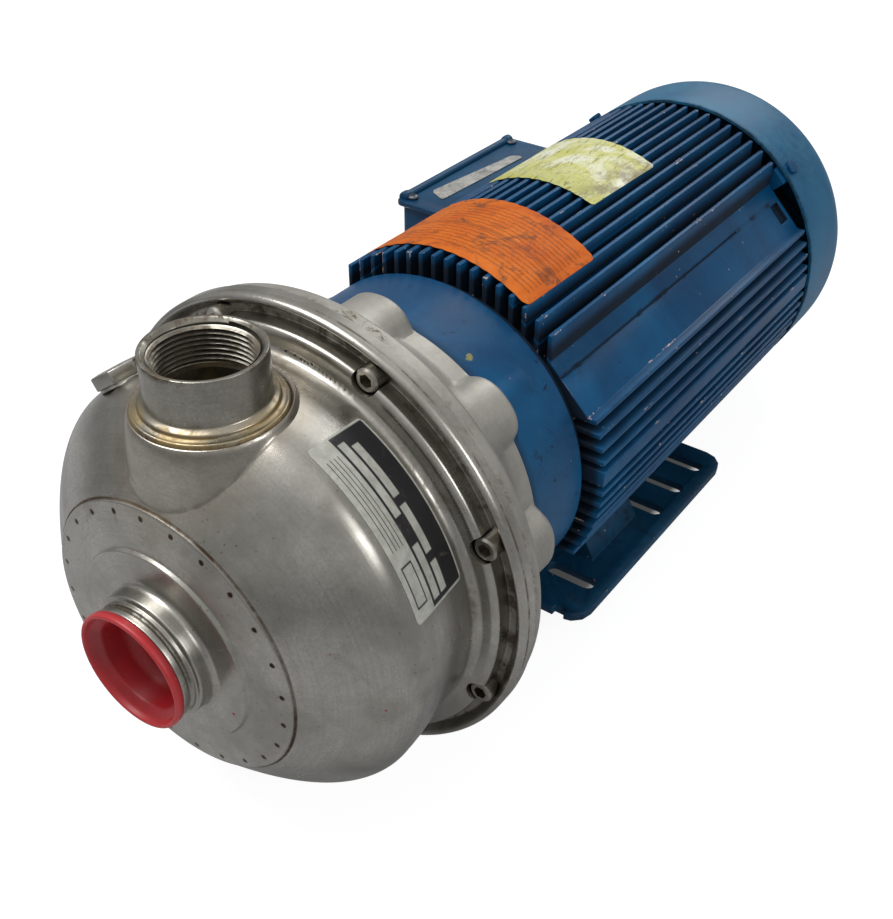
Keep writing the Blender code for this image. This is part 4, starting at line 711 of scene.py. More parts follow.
class Graph(NodeGraph):
    """Shader nodes of one material."""

    SOCKETS: dict[str, str] = {"roughness": "Roughness", "metallic": "Metallic", "normal": "Normal",
                               "coat": "Coat Weight", "specular": "Specular IOR Level"}

    def __init__(self, name: str) -> None:
        """Start a material with its Principled shader.

        Args:
            name: Name of the material.
        """
        self.material = bpy.data.materials.new(name)
        self.material.use_nodes = True
        super().__init__(self.material.node_tree)
        self.shader = self.tree.nodes["Principled BSDF"]
        self.place = self.run("ShaderNodeTexCoord", {}, "Object")
        self.x, self.y, self.z = self.split(self.place)
        self.color: Tone = (0.5, 0.5, 0.5)

    def paint(self, share: Number, tone: Tone) -> None:
        """Lay a tone over the material's colour."""
        self.color = self.mix(share, self.color, tone)

    def noise(self, scale: float, detail: float = 4.0, rough: float = 0.55, place: Optional[Value] = None,
              warp: float = 0.0) -> Value:
        """Noise about 0.5.

        Args:
            scale: How fine it is, in waves for each metre of the place.
            detail: Number of finer layers.
            rough: How strong each finer layer is.
            place: Where it is looked up, or None for the piece's own coordinates.
            warp: How far it is bent by itself.

        Returns:
            The noise, from 0 to 1.
        """
        inputs = {"Vector": place or self.place, "Scale": scale, "Detail": detail, "Roughness": rough,
                  "Distortion": warp}
        return self.run("ShaderNodeTexNoise", inputs)

    def spots(self, scale: float, low: float, high: float) -> Value:
        """Mask of scattered round spots that fade between two distances from their middles."""
        distance = self.run("ShaderNodeTexVoronoi", {"Vector": self.place, "Scale": scale}, "Distance")
        return self.ramp(distance, low, high, 1.0, 0.0)

    def attribute(self, name: str) -> Value:
        """Value that the mesh carries on its faces or points."""
        return self.run("ShaderNodeAttribute", {}, "Fac", attribute_name=name)

    def radius_from(self, line: Line) -> Value:
        """Distance from the shaft's axis or the port's."""
        return self.length(self.x, self.z - SHAFT_HEIGHT if line is SHAFT else self.y - PORT_Y)

    def shaft_angle(self) -> Value:
        """Angle about the shaft from the top towards +X, in radians."""
        return self.calc("ARCTAN2", self.x, self.z - SHAFT_HEIGHT)

    def bump(self, height: Value, strength: float, distance: float, over: Optional[Value] = None) -> Value:
        """Normal bent by a height, over another bent normal where there is one."""
        inputs = {"Strength": strength, "Distance": distance, "Height": height}
        return self.run("ShaderNodeBump", inputs if over is None else {**inputs, "Normal": over})

    def set(self, **sockets: object) -> Material:
        """Feed the shader the material's colour and other values.

        Args:
            **sockets: Values of its inputs by their short names.

        Returns:
            The material.
        """
        self.feed(self.shader.inputs["Base Color"], self.color)
        for key, value in sockets.items():
            self.feed(self.shader.inputs[self.SOCKETS[key]], value)
        return self.material


Mask = Callable[[Graph], Value]
Marks = Callable[[Graph], None]


@dataclass(frozen=True)
class Stainless:
    """Satin stainless sheet with brushing round an axis, weld tints and grime."""

    name: str
    light: Color = (0.53, 0.515, 0.475)
    dark: Color = (0.3, 0.288, 0.258)
    grime: Color = (0.075, 0.05, 0.03)
    line: Line = SHAFT
    brushing: float = 0.35

    def material(self, marks: Optional[Marks] = None, stain: Optional[Mask] = None) -> Material:
        """Build the finish.

        Args:
            marks: Adds the piece's own marks to the colour.
            stain: Mask of brown grime on the piece.

        Returns:
            The material.
        """
        g = Graph(self.name)
        radius = g.radius_from(self.line)
        along = g.y if self.line is SHAFT else g.z
        turn = g.shaft_angle() if self.line is SHAFT else g.calc("ARCTAN2", g.x, g.y - PORT_Y)
        lines = g.noise(1.0, 3.0, 0.6, g.vector(turn * 1.6, along * 900.0, radius * 900.0))
        broad = g.noise(1.0, 4.0, 0.6, g.vector(turn * 3.0, along * 60.0, radius * 60.0))
        cloud = g.noise(28.0, 6.0, 0.62, warp=0.4)
        scratch = g.ramp(g.noise(260.0, 2.0, 0.5, warp=2.5), 0.66, 0.72)
        g.color = g.mix(g.ramp(cloud, 0.3, 0.72), self.light, self.dark)
        g.paint(g.ramp(broad, 0.45, 0.8) * 0.35, self.light)
        g.paint(g.ramp(lines, 0.35, 0.75) * self.brushing, self.dark)
        grain = g.noise(800.0, 3.0, 0.7)
        g.paint(g.ramp(grain, 0.4, 0.62) * 0.3, self.dark)
        blotch = g.ramp(g.noise(24.0, 7.0, 0.72, warp=1.2), 0.57, 0.72, 0.0, 0.4)
        g.paint(blotch, (0.17, 0.145, 0.105))
        pits = g.spots(300.0, 0.08, 0.16) * g.ramp(cloud, 0.5, 0.6)
        g.paint(pits * 0.5, self.grime)
        rough = g.blend(cloud, 0.2, 0.36) + scratch * 0.12
        if stain is not None:
            mask = stain(g)
            g.paint(mask, self.grime)
            rough = g.blend(mask, rough, 0.75)
        if marks is not None:
            marks(g)
        height = lines * 0.6 + cloud * 0.4
        normal = g.bump(height, 0.12, 0.0004, g.bump(g.noise(14.0, 2.0, 0.5), 0.25, 0.0012))
        return g.set(roughness=rough, metallic=1.0, normal=normal)


@dataclass(frozen=True)
class Paint:
    """Worn gloss blue paint with haze, grime and painted shade in the corners, and chips along the edges."""

    name: str
    deep: Color = (0.001, 0.045, 0.125)
    light: Color = (0.003, 0.092, 0.22)
    haze: Color = (0.06, 0.19, 0.29)
    bare: Color = (0.55, 0.42, 0.38)
    # dark colour of grime and scuffs, and of the painted shade in some pieces' masks
    grime: Color = (0.004, 0.01, 0.02)
    haze_share: float = 0.1
    wear_share: float = 1.0

    def material(self, grime: Optional[Mask] = None, dust_and_sheen: Optional[Mask] = None,
                 marks: Optional[Marks] = None) -> Material:
        """Build the finish.

        Args:
            grime: Mask of dark grime on the piece, with painted shade where a piece's mask holds it.
            dust_and_sheen: Mask of pale dust and painted sheen on the piece.
            marks: Adds the piece's own marks to the colour.

        Returns:
            The material.
        """
        g = Graph(self.name)
        cloud = g.noise(18.0, 6.0, 0.62, warp=0.6)
        fine = g.noise(240.0, 4.0, 0.6)
        g.color = g.mix(g.ramp(cloud, 0.3, 0.75), self.deep, self.light)
        hazy = g.ramp(g.noise(60.0, 7.0, 0.7, warp=1.2), 0.5, 0.78) * self.haze_share
        if dust_and_sheen is not None:
            # pale dust, and painted sheen on upper sides, laid in with the haze
            hazy = g.most(hazy, dust_and_sheen(g) * g.ramp(fine, 0.25, 0.7))
        g.paint(hazy, self.haze)
        rough = g.blend(cloud, 0.28, 0.45)
        rough = g.blend(hazy, rough, 0.6)
        if grime is not None:
            # dark grime, and painted shade from the frame's and the bell's masks
            mask = grime(g)
            g.paint(mask, self.grime)
            rough = g.blend(mask, rough, 0.7)
        scuff = g.ramp(g.noise(75.0, 3.0, 0.7, warp=3.0), 0.69, 0.74) * 0.8
        g.paint(scuff, self.grime)
        worn = g.attribute("wear") * g.ramp(g.noise(70.0, 6.0, 0.75), 0.6, 0.65)
        flecks = g.spots(150.0, 0.05, 0.11) * g.ramp(g.noise(40.0, 2.0, 0.5), 0.58, 0.64)
        chips = g.most(worn, flecks) * self.wear_share
        g.paint(chips, self.bare)
        if marks is not None:
            marks(g)
        height = fine * 0.25 + cloud * 0.4 - chips * 0.8
        return g.set(roughness=rough, metallic=0.0, specular=0.22, normal=g.bump(height, 0.35, 0.0004))


@dataclass(frozen=True)
class PlainFinish:
    """Finish of an inner or small piece: two shades, fine grain and its gloss."""

    name: str
    first: Color
    second: Color
    roughness: float
    metallic: float
    grain: float = 300.0
    depth: float = 0.0002

    def material(self) -> Material:
        """Build the finish from a broad and a fine noise.

        Returns:
            The material.
        """
        g = Graph(self.name)
        broad = g.noise(40.0, 5.0, 0.6, warp=0.5)
        fine = g.noise(self.grain, 4.0, 0.6)
        g.color = g.mix(g.ramp(broad, 0.3, 0.7), self.first, self.second)
        g.paint(g.ramp(fine, 0.55, 0.8) * 0.4, self.second)
        rough = (broad - 0.5) * 0.25 + self.roughness
        return g.set(roughness=rough, metallic=self.metallic, normal=g.bump(fine, 0.3, self.depth))


@dataclass(frozen=True)
class Laminations:
    """Stacked steel sheets with their edges showing along the shaft."""

    name: str = "stacked_laminations"
    sheet: float = 0.0005

    def material(self) -> Material:
        """Build the finish from a wave along the shaft.

        Returns:
            The material.
        """
        g = Graph(self.name)
        wave = g.calc("SINE", g.y * (2 * math.pi / self.sheet))
        cloud = g.noise(50.0, 5.0, 0.6)
        g.color = g.mix(g.ramp(wave, -1.0, 1.0), (0.1, 0.095, 0.09), (0.28, 0.265, 0.25))
        g.paint(cloud * 0.4, (0.16, 0.11, 0.07))
        return g.set(roughness=g.blend(cloud, 0.45, 0.7), metallic=0.9, normal=g.bump(wave, 0.3, 0.0001))


@dataclass(frozen=True)
class Windings:
    """Varnished copper wire laid round the stator."""

    name: str = "varnished_windings"
    wire: float = 0.0011

    def material(self) -> Material:
        """Build the finish from waves round the shaft.

        Returns:
            The material.
        """
        g = Graph(self.name)
        radius = g.radius_from(SHAFT)
        warp = g.noise(60.0, 3.0, 0.5) * (self.wire * 3)
        run = radius + g.y * 0.6 + warp
        wave = g.calc("SINE", run * (2 * math.pi / self.wire))
        g.color = g.mix(g.ramp(wave, -1.0, 0.6), (0.1, 0.025, 0.008), (0.52, 0.19, 0.06))
        return g.set(roughness=0.32, metallic=0.7, normal=g.bump(wave, 0.8, 0.0005), coat=0.5)


def casing_grime(g: Graph) -> Value:
    """Brown grime in the casing's channel, along its joint, in the crease and under the nozzle.

    Args:
        g: Graph of the material.

    Returns:
        The mask.
    """
    radius = g.radius_from(SHAFT)
    cloud = g.noise(55.0, 6.0, 0.7, warp=0.8)
    channel = g.band(g.y, JOINT_Y - 0.0052, JOINT_Y - 0.0042, 0.0006) * g.ramp(cloud, 0.42, 0.6, 0.25, 0.9)
    neck = g.band(g.y, JOINT_Y - 0.0185, JOINT_Y - 0.0148, 0.0012) * g.ramp(cloud, 0.45, 0.7, 0.0, 0.6)
    brown = g.ramp(g.y, -0.262, -0.266) * g.ramp(cloud, 0.35, 0.6, 0.45, 0.95)
    crease = g.band(radius, 0.0643, 0.0653, 0.0002) * brown
    ring = g.band(g.y, NOZZLE_END_Y + 0.0026, NOZZLE_END_Y + 0.0052, 0.0004)
    return g.most(channel, neck, crease, ring * g.ramp(cloud, 0.4, 0.62, 0.1, 0.85))


def casing_marks(g: Graph) -> None:
    """Spot-weld dots and rusty streaks on the disc, a few red specks and the heat tint by the boss.

    Args:
        g: Graph of the material.
    """
    radius = g.radius_from(SHAFT)
    front = g.ramp(g.y, DISC_Y + 0.004, DISC_Y + 0.001)
    turn = g.shaft_angle() * (24 / (2 * math.pi))
    step = g.calc("FRACT", turn + 0.8) - 0.5
    across = step * (2 * math.pi * 0.06 / 24)
    away = radius - 0.0602
    ragged = g.noise(900.0, 3.0, 0.6) * 0.001
    distance = g.length(across, away)
    dot = g.ramp(distance + ragged, 0.0014, 0.0021, 1.0, 0.0) * front
    rust = g.band(radius, 0.0555, 0.0635, 0.001) * g.ramp(g.noise(130.0), 0.5, 0.7, 0.0, 0.35)
    streak = g.ramp(abs(across), 0.0004, 0.0014, 1.0, 0.0) * rust
    g.paint(streak * front, (0.14, 0.075, 0.03))
    g.paint(dot, (0.035, 0.018, 0.01))
    specks = g.spots(55.0, 0.035, 0.055) * g.ramp(g.noise(9.0), 0.56, 0.6)
    g.paint(specks, (0.42, 0.01, 0.015))
    heat = g.ramp(g.radius_from(PORT), 0.0345, 0.0435, 1.0, 0.0) * g.ramp(g.z, 0.12, 0.15)
    g.paint(heat * 0.15, (0.4, 0.28, 0.14))


def nozzle_grime(g: Graph) -> Value:
    """Brown stains at the discharge nozzle's rim, between its threads and over the weld.

    Args:
        g: Graph of the material.

    Returns:
        The mask.
    """
    radius = g.radius_from(PORT)
    cloud = g.noise(75.0, 6.0, 0.7, warp=1.0)
    rim = g.ramp(g.z, 0.204, 0.207) * g.ramp(cloud, 0.48, 0.62, 0.0, 0.75)
    inside = g.ramp(radius, 0.0206, 0.0202) * g.ramp(cloud, 0.35, 0.65, 0.15, 0.75)
    foot = g.ramp(g.z, 0.1925, 0.1862) * g.ramp(cloud, 0.48, 0.66, 0.0, 0.6)
    rings = g.most(g.band(radius, 0.0266, 0.0272, 0.0002), g.band(radius, 0.0298, 0.0306, 0.0002))
    foot = g.most(foot, rings * g.ramp(cloud, 0.35, 0.55, 0.3, 0.9))
    return g.most(rim, inside, foot)


def weld_gold(g: Graph) -> None:
    """Golden heat tint of the weld ring.

    Args:
        g: Graph of the material.
    """
    low = g.ramp(g.z, 0.1895, 0.1855)
    g.paint(low * g.ramp(g.noise(60.0, 4.0, 0.6), 0.35, 0.65, 0.1, 0.6), (0.46, 0.34, 0.16))
    upright = g.noise(1.0, 4.0, 0.6, g.vector(g.x * 160.0, g.y * 160.0, g.z * 25.0))
    streaks = g.ramp(upright, 0.6, 0.72) * 0.5
    g.paint(streaks * g.ramp(g.z, 0.2, 0.207), (0.3, 0.17, 0.05))


@dataclass
class Casing:
    """Pressed and welded stainless casing with its nozzles, screws, plugs and label."""

    shoulder_r: float = 0.0984
    shoulder_y: float = JOINT_Y - 0.0545
    crease_r: float = 0.0652
    wall: float = 0.0028
    crease_turn: float = 0.0237
    lip_y: float = JOINT_Y - 0.0141
    lip_r: float = 0.1045
    seat_y: float = JOINT_Y - 0.0047
    rim_y: float = JOINT_Y - 0.0093
    flange_r: float = 0.1139
    rear_r: float = 0.0942
    screw_circle: float = 0.1042
    screw_angles: tuple[float, ...] = tuple(22.5 + 45.0 * index for index in range(8))
    plug_r: float = 0.097
    plug_y: float = JOINT_Y - 0.052
    hole_r: float = 0.031
    boss_inner: float = 0.0296
    boss_outer: float = 0.054
    boss_limit: float = 0.0945
    thread_pitch: float = 0.002209
    thread_turns: float = 8.3
    drum: list[Pair] = field(default_factory=list)

    def build(self) -> None:
        """Build every piece of the casing."""
        self.build_shell()
        self.build_boss()
        self.build_nozzle()
        self.build_screws()
        self.build_plugs()
        self.build_label()

    def outside(self) -> list[Pair]:
        """Profile of the outside from the suction nozzle's mouth to the joint.

        Returns:
            The profile's points.
        """
        front = NOZZLE_END_Y
        crease = DISC_Y + 0.0008
        head: list[Corner] = [(front, 0.0228, 0.0004), (front, 0.0262, 0.0007),
                              (front + 0.0028, 0.0262, 0.0004), (front + 0.0034, 0.0254, 0.0004),
                              (front + 0.0044, 0.0254, 0.0004), (front + 0.005, 0.0264, 0.0005),
                              (DISC_Y - 0.0129, 0.0264, 0.0005), (DISC_Y - 0.0125, 0.0284, 0.0008),
                              (DISC_Y - 0.005, 0.0284, 0.003), (DISC_Y - 0.0049, 0.044, 0.0005),
                              (DISC_Y - 0.003, 0.045, 0.0005), (DISC_Y - 0.0006, 0.064, 0.0006),
                              (DISC_Y + 0.0004, 0.0646, 0.0003), (crease, 0.0652, 0.0003)]
        bowl = bend((crease, self.crease_r), (crease + self.crease_turn, self.shoulder_r),
                    (self.shoulder_y, self.shoulder_r), 24)
        tail: list[Corner] = [(self.shoulder_y, self.shoulder_r), (self.shoulder_y + 0.008, 0.0981, 0.006),
                              (self.lip_y - 0.0025, self.rear_r, 0.002), (self.lip_y, 0.0967, 0.0015),
                              (self.lip_y + 0.0002, 0.1025, 0.0015),
                              (self.lip_y + 0.0018, self.lip_r, 0.0012), (self.seat_y, self.lip_r, 0.0006),
                              (self.seat_y, 0.108, 0.0008), (self.rim_y + 0.001, 0.1107, 0.001),
                              (self.rim_y, 0.1121, 0.0012), (self.rim_y + 0.0018, self.flange_r, 0.0015),
                              (JOINT_Y, self.flange_r, 0.0005)]
        return rounded(head, closed=False) + bowl + rounded(tail, closed=False)

    def radius_at(self, station: float) -> float:
        """Outside radius of the drum at a place along the shaft.

        Args:
            station: The place.

        Returns:
            The radius, or 0 off the drum.
        """
        for (y0, r0), (y1, r1) in zip(self.drum, self.drum[1:]):
            if y0 <= station <= y1 and y1 > y0:
                return r0 + (r1 - r0) * (station - y0) / (y1 - y0)
        return 0.0

    def build_shell(self) -> None:
        """Turn the shell and cut its screw pockets and the port's hole."""
        outside = self.outside()
        self.drum = [point for point in outside if DISC_Y - 0.004 < point[0] < self.lip_y and point[1] > 0.04]
        inner_r = self.shoulder_r - self.wall
        crease = DISC_Y + 0.0008 + self.wall * 0.8
        inside: list[Corner] = [
            (JOINT_Y, 0.0943), (JOINT_Y - 0.008, 0.0943), (JOINT_Y - 0.008, 0.0914),
            (self.shoulder_y + 0.008, inner_r), (self.shoulder_y, inner_r)]
        inside += bend((self.shoulder_y, inner_r), (crease + self.crease_turn, inner_r),
                       (crease, self.crease_r - self.wall), 20)
        inside += [(crease, self.crease_r - self.wall), (DISC_Y - 0.0005 + self.wall, 0.0452),
                   (DISC_Y - 0.0005 + self.wall * 0.5, 0.0228)]
        shell = turned(outside + inside, SHAFT, 224)
        stainless = Stainless("brushed_stainless_casing").material(casing_marks, casing_grime)
        piece = add_piece("casing_shell", shell, stainless, ["casing"], sharp=24.0)
        carve(piece, [rod(self.hole_r, 0.09, 128, (0.0, PORT_Y, SHAFT_HEIGHT + 0.0905))], 24.0)
        carve(piece, [stand(rod(0.006, 0.016, 48), around(angle, self.screw_circle, self.seat_y - 0.008),
                            Vector(SHAFT.along)) for angle in self.screw_angles], 24.0)

    def boss_height(self, x: float, y: float) -> float:
        """Height of the boss above the shaft, where the port's column meets the drum.

        Args:
            x: Place across the shaft.
            y: Place along it.

        Returns:
            The height.
        """
        across = math.hypot(x, y - PORT_Y)
        radius = self.radius_at(y)
        drum = math.sqrt(max(radius * radius - x * x, 0.0))
        share = (across - 0.03) / 0.0042
        dome = 0.06 + 0.0345 * math.sqrt(max(1 - max(share, 0.0) ** 2, 0.0))
        if share > 1:
            dome = 0.06 - 8 * (across - 0.0342)
        height = smooth_max(drum, dome, 0.012)
        return smooth_min(height, self.boss_limit + (across - 0.0305) * 1.2, 0.002)

    def build_boss(self) -> None:
        """Raise the seat of the discharge nozzle out of the drum."""
        rings = [self.boss_inner + (self.boss_outer - self.boss_inner) * (index / 60) for index in range(61)]
        skirt = turned([(0.0, radius) for radius in rings], PORT, 160, closed=False)
        for vert in skirt.verts:
            y = max(vert.co.y, DISC_Y + 0.001)
            if vert.co.y < y:
                vert.co.y = y
            vert.co.z = SHAFT_HEIGHT + self.boss_height(vert.co.x, y) + 0.00003
        bmesh.ops.recalc_face_normals(skirt, faces=skirt.faces)
        middle = max(skirt.faces, key=lambda face: face.calc_center_median().z)
        if middle.normal.z < 0:
            bmesh.ops.reverse_faces(skirt, faces=skirt.faces)
        bmesh.ops.solidify(skirt, geom=list(skirt.faces), thickness=0.0016)
        stainless = Stainless("brushed_stainless_boss").material(casing_marks, casing_grime)
        add_piece("discharge_boss", skirt, stainless, sharp=30.0)

    def build_nozzle(self) -> None:
        """Turn the discharge nozzle with its weld ring, and wind the thread inside it."""
        profile: list[Corner] = [(0.086, 0.0185), (0.0983, 0.0185), (0.0983, 0.0204),
                                 (0.1167, 0.0209, 0.0003), (0.118, 0.0222, 0.0003),
                                 (0.1183, 0.0226, 0.0002), (0.1183, 0.0241, 0.0006),
                                 (0.099, 0.0241, 0.0008), (0.0982, 0.0252, 0.0006),
                                 (0.0974, 0.0266, 0.0006), (0.0962, 0.0268, 0.0005),
                                 (0.0957, 0.0285, 0.0004), (0.0958, 0.0297, 0.0006),
                                 (0.0944, 0.0303, 0.0005), (0.086, 0.0303)]
        body = turned(rounded(profile), PORT, 128)
        finish = Stainless("stained_stainless_nozzle", light=(0.42, 0.405, 0.355), dark=(0.2, 0.19, 0.16),
                           line=PORT, brushing=0.25)
        material = finish.material(weld_gold, nozzle_grime)
        add_piece("discharge_nozzle", body, material, sharp=30.0)
        thread = bmesh.new()
        start, half = 0.0985, self.thread_pitch * 0.42
        corners = [(start - half, 0.0209), (start, 0.0193), (start + half, 0.0209)]
        points = [thread.verts.new(PORT.at(station, radius)) for station, radius in corners]
        edges = [thread.edges.new((points[index], points[(index + 1) % 3])) for index in range(3)]
        per_turn = 64
        steps = int(self.thread_turns * per_turn)
        bmesh.ops.spin(thread, geom=points + edges, cent=PORT.origin, axis=PORT.along,
                       angle=2 * math.pi * self.thread_turns, steps=steps,
                       dvec=(0.0, 0.0, self.thread_pitch / per_turn), use_merge=False)
        for index, vert in enumerate(thread.verts):
            fade = min(1.0, (index // 3) / per_turn, (steps - index // 3) / (per_turn * 0.8))
            offset = vert.co - Vector((0.0, PORT_Y, vert.co.z))
            vert.co += offset.normalized() * (0.0209 - offset.length) * (1 - max(fade, 0.0)) * 0.98
        bmesh.ops.holes_fill(thread, edges=thread.edges, sides=3)
        bmesh.ops.recalc_face_normals(thread, faces=thread.faces)
        add_piece("discharge_thread", thread, material, sharp=40.0)

    def build_screws(self) -> None:
        """Seat the eight socket screws in the flange's channel."""
        steel = PlainFinish("screw_steel", (0.52, 0.49, 0.44), (0.22, 0.2, 0.17), 0.32, 1.0).material()
        head = SocketHead(0.0053, 0.008, 0.0054, 0.0045, 0.0009)
        for index, angle in enumerate(self.screw_angles):
            place = around(angle, self.screw_circle, self.seat_y + 0.0002)
            seat_bolt(f"casing_screw_{index + 1}", head, place, 17.0 * index, (0.0038, 0.0125, 0.0066), steel)

    def build_plugs(self) -> None:
        """Seat the hexagon plugs of the vent and the drain."""
        finish = Stainless("stainless_plug", light=(0.5, 0.48, 0.44), brushing=0.1).material()
        for name, angle in (("vent_plug", -34.0), ("drain_plug", 180.0)):
            whole = joined([HexHead(0.019, 0.007).shape(), rod(0.0058, 0.006, 32, (0.0, 0.0, -0.0028))])
            stand(whole, around(angle, self.plug_r + CLEARANCE, self.plug_y), outward_at(angle), 12.0)
            add_piece(f"hexagon_{name}", whole, finish, [name], sharp=30.0)

    def build_label(self) -> None:
        """Lay the label on the drum."""
        patch = LabelPatch(corners=((26.5, -0.2295), (72.7, -0.2295), (72.7, -0.197), (26.5, -0.197)),
                           lift=0.00015, round_share=0.05)
        shape = patch.shape(lambda angle, y: self.radius_at(y))
        add_piece("casing_label", shape, casing_label_finish())


@dataclass(frozen=True)
class LabelPatch:
    """A thin sheet between four corners given by angle about the shaft and place along it."""

    corners: tuple[Pair, ...]
    lift: float
    round_share: float = 0.06
    columns: int = 96
    rows: int = 32
    thick: float = 0.00012

    def shape(self, radius: Callable[[float, float], float]) -> Shape:
        """Wrap a grid on a surface.

        Args:
            radius: Radius of the surface at an angle in degrees and a place along the shaft.

        Returns:
            The sheet, with its own UV map.
        """
        shape = bmesh.new()
        shape.loops.layers.uv.new("label")
        bmesh.ops.create_grid(shape, x_segments=self.columns, y_segments=self.rows, size=1.0, calc_uvs=True)
        a, b, c, d = (Vector(corner) for corner in self.corners)
        for vert in shape.verts:
            u, v = vert.co.x, vert.co.y
            past = max(abs(v) - (1 - self.round_share * 2), 0.0) / (self.round_share * 2)
            u *= 1 - self.round_share * (1 - math.sqrt(max(1 - past * past, 0.0)))
            s, t = (u + 1) / 2, (v + 1) / 2
            angle, y = a * (1 - s) * (1 - t) + b * s * (1 - t) + c * s * t + d * (1 - s) * t
            vert.co = around(angle, radius(angle, y) + self.lift, y)
        bmesh.ops.recalc_face_normals(shape, faces=shape.faces)
        face = next(iter(shape.faces))
        centre = face.calc_center_median()
        if face.normal.dot(centre - Vector((0.0, centre.y, SHAFT_HEIGHT))) < 0:
            bmesh.ops.reverse_faces(shape, faces=shape.faces)
        bmesh.ops.solidify(shape, geom=list(shape.faces), thickness=self.thick)
        return shape


class LabelGraph(Graph):
    """Graph whose patterns follow a label's own UV map."""

    def __init__(self, name: str) -> None:
        """Start the material and split the label's UV map."""
        super().__init__(name)
        self.u, self.v, _ = self.split(self.run("ShaderNodeUVMap", {}, uv_map="label"))

    def field(self, u0: float, u1: float, v0: float, v1: float, soft: float = 0.004) -> Value:
        """Mask of a rectangle on the label."""
        return self.band(self.u, u0, u1, soft) * self.band(self.v, v0, v1, soft * 2)

    def rules(self, count: float, share: float, coordinate: Value) -> Value:
        """Mask of thin parallel rules."""
        part = self.calc("FRACT", coordinate * count)
        return self.ramp(abs(part - 0.5), share, share + 0.08, 1.0, 0.0)


def casing_label_finish() -> Material:
    """Silver label with a dark band, blank fields and thin rules.

    Returns:
        The material.
    """
    g = LabelGraph("casing_label_print")
    wear = g.noise(220.0, 5.0, 0.7)
    silver = g.mix(g.ramp(wear, 0.3, 0.7), (0.56, 0.56, 0.5), (0.4, 0.4, 0.35))
    ink = (0.012, 0.012, 0.014)
    g.color = g.mix(g.field(0.012, 0.988, 0.36, 0.975), silver, ink)
    for u0, u1, v0, v1 in ((0.1, 0.42, 0.56, 0.68), (0.47, 0.74, 0.56, 0.68), (0.79, 0.96, 0.56, 0.68),
                           (0.06, 0.5, 0.4, 0.52), (0.66, 0.96, 0.4, 0.52)):
        g.paint(g.field(u0, u1, v0, v1), silver)
    g.paint(g.rules(16.0, 0.05, g.v) * g.field(0.1, 0.62, 0.06, 0.3), ink)
    g.paint(g.field(0.7, 0.93, 0.08, 0.28), ink)
    g.paint(g.field(0.71, 0.92, 0.1, 0.26), silver)
    dirt = g.ramp(g.noise(90.0, 6.0, 0.7, warp=1.0), 0.56, 0.75, 0.0, 0.55)
    g.paint(dirt, (0.16, 0.13, 0.09))
    return g.set(roughness=g.blend(wear, 0.3, 0.5), metallic=0.25, normal=g.bump(wear, 0.15, 0.0001))


def orange_label_finish() -> Material:
    """Faded orange label with thin rules, scratches and dirt.

    Returns:
        The material.
    """
    g = LabelGraph("orange_label_print")
    fade = g.noise(30.0, 5.0, 0.65, warp=0.6)
    g.color = g.mix(g.ramp(fade, 0.3, 0.7), (0.7, 0.165, 0.006), (0.54, 0.1, 0.005))
    fine = g.noise(500.0, 4.0, 0.7)
    broken = g.ramp(g.noise(1.0, 3.0, 0.6, g.vector(g.u * 260.0, g.v * 40.0, 0.0)), 0.4, 0.5)
    rules = g.rules(19.0, 0.14, g.v) * (broken * g.field(0.04, 0.96, 0.1, 0.9))
    g.paint(rules * 0.55, (0.1, 0.03, 0.012))
    g.paint(g.band(g.v, 0.47, 0.485, 0.004) * 0.6, (0.05, 0.02, 0.01))
    dirt = g.ramp(g.noise(65.0, 7.0, 0.72, warp=1.4), 0.5, 0.68, 0.0, 0.8)
    g.paint(dirt, (0.09, 0.035, 0.016))
    scratch = g.ramp(g.noise(1.0, 2.0, 0.5, g.vector(g.u * 12.0, g.v * 160.0, 0.0)), 0.7, 0.73)
    g.paint(scratch * 0.6, (0.75, 0.45, 0.25))
    return g.set(roughness=g.blend(fade, 0.45, 0.6), metallic=0.0, specular=0.15,
                 normal=g.bump(fine, 0.2, 0.0001))


def yellow_label_finish() -> Material:
    """Pale yellow label, nearly worn white, with dirt along its fins.

    Returns:
        The material.
    """
    g = LabelGraph("yellow_label_print")
    fade = g.noise(38.0, 6.0, 0.68, warp=0.8)
    g.color = g.mix(g.ramp(fade, 0.35, 0.6), (0.8, 0.81, 0.66), (0.58, 0.58, 0.16))
    front = g.ramp(g.v, 0.42, 0.12) * 0.75
    g.paint(front, (0.47, 0.48, 0.1))
    edge = g.ramp(g.u, 0.72, 0.98) * g.ramp(g.noise(55.0, 5.0, 0.7), 0.42, 0.6)
    g.paint(edge * 0.8, (0.16, 0.11, 0.03))
    streak = g.noise(1.0, 6.0, 0.75, g.vector(g.u * 26.0, g.v * 5.0, 0.0), warp=0.8)
    g.paint(g.ramp(streak, 0.52, 0.66, 0.0, 0.8), (0.13, 0.1, 0.03))
    specks = g.ramp(g.noise(420.0, 3.0, 0.7), 0.62, 0.68, 0.0, 0.7)
    g.paint(specks, (0.07, 0.055, 0.02))
    return g.set(roughness=g.blend(fade, 0.4, 0.6), metallic=0.0, normal=g.bump(fade, 0.2, 0.0002))


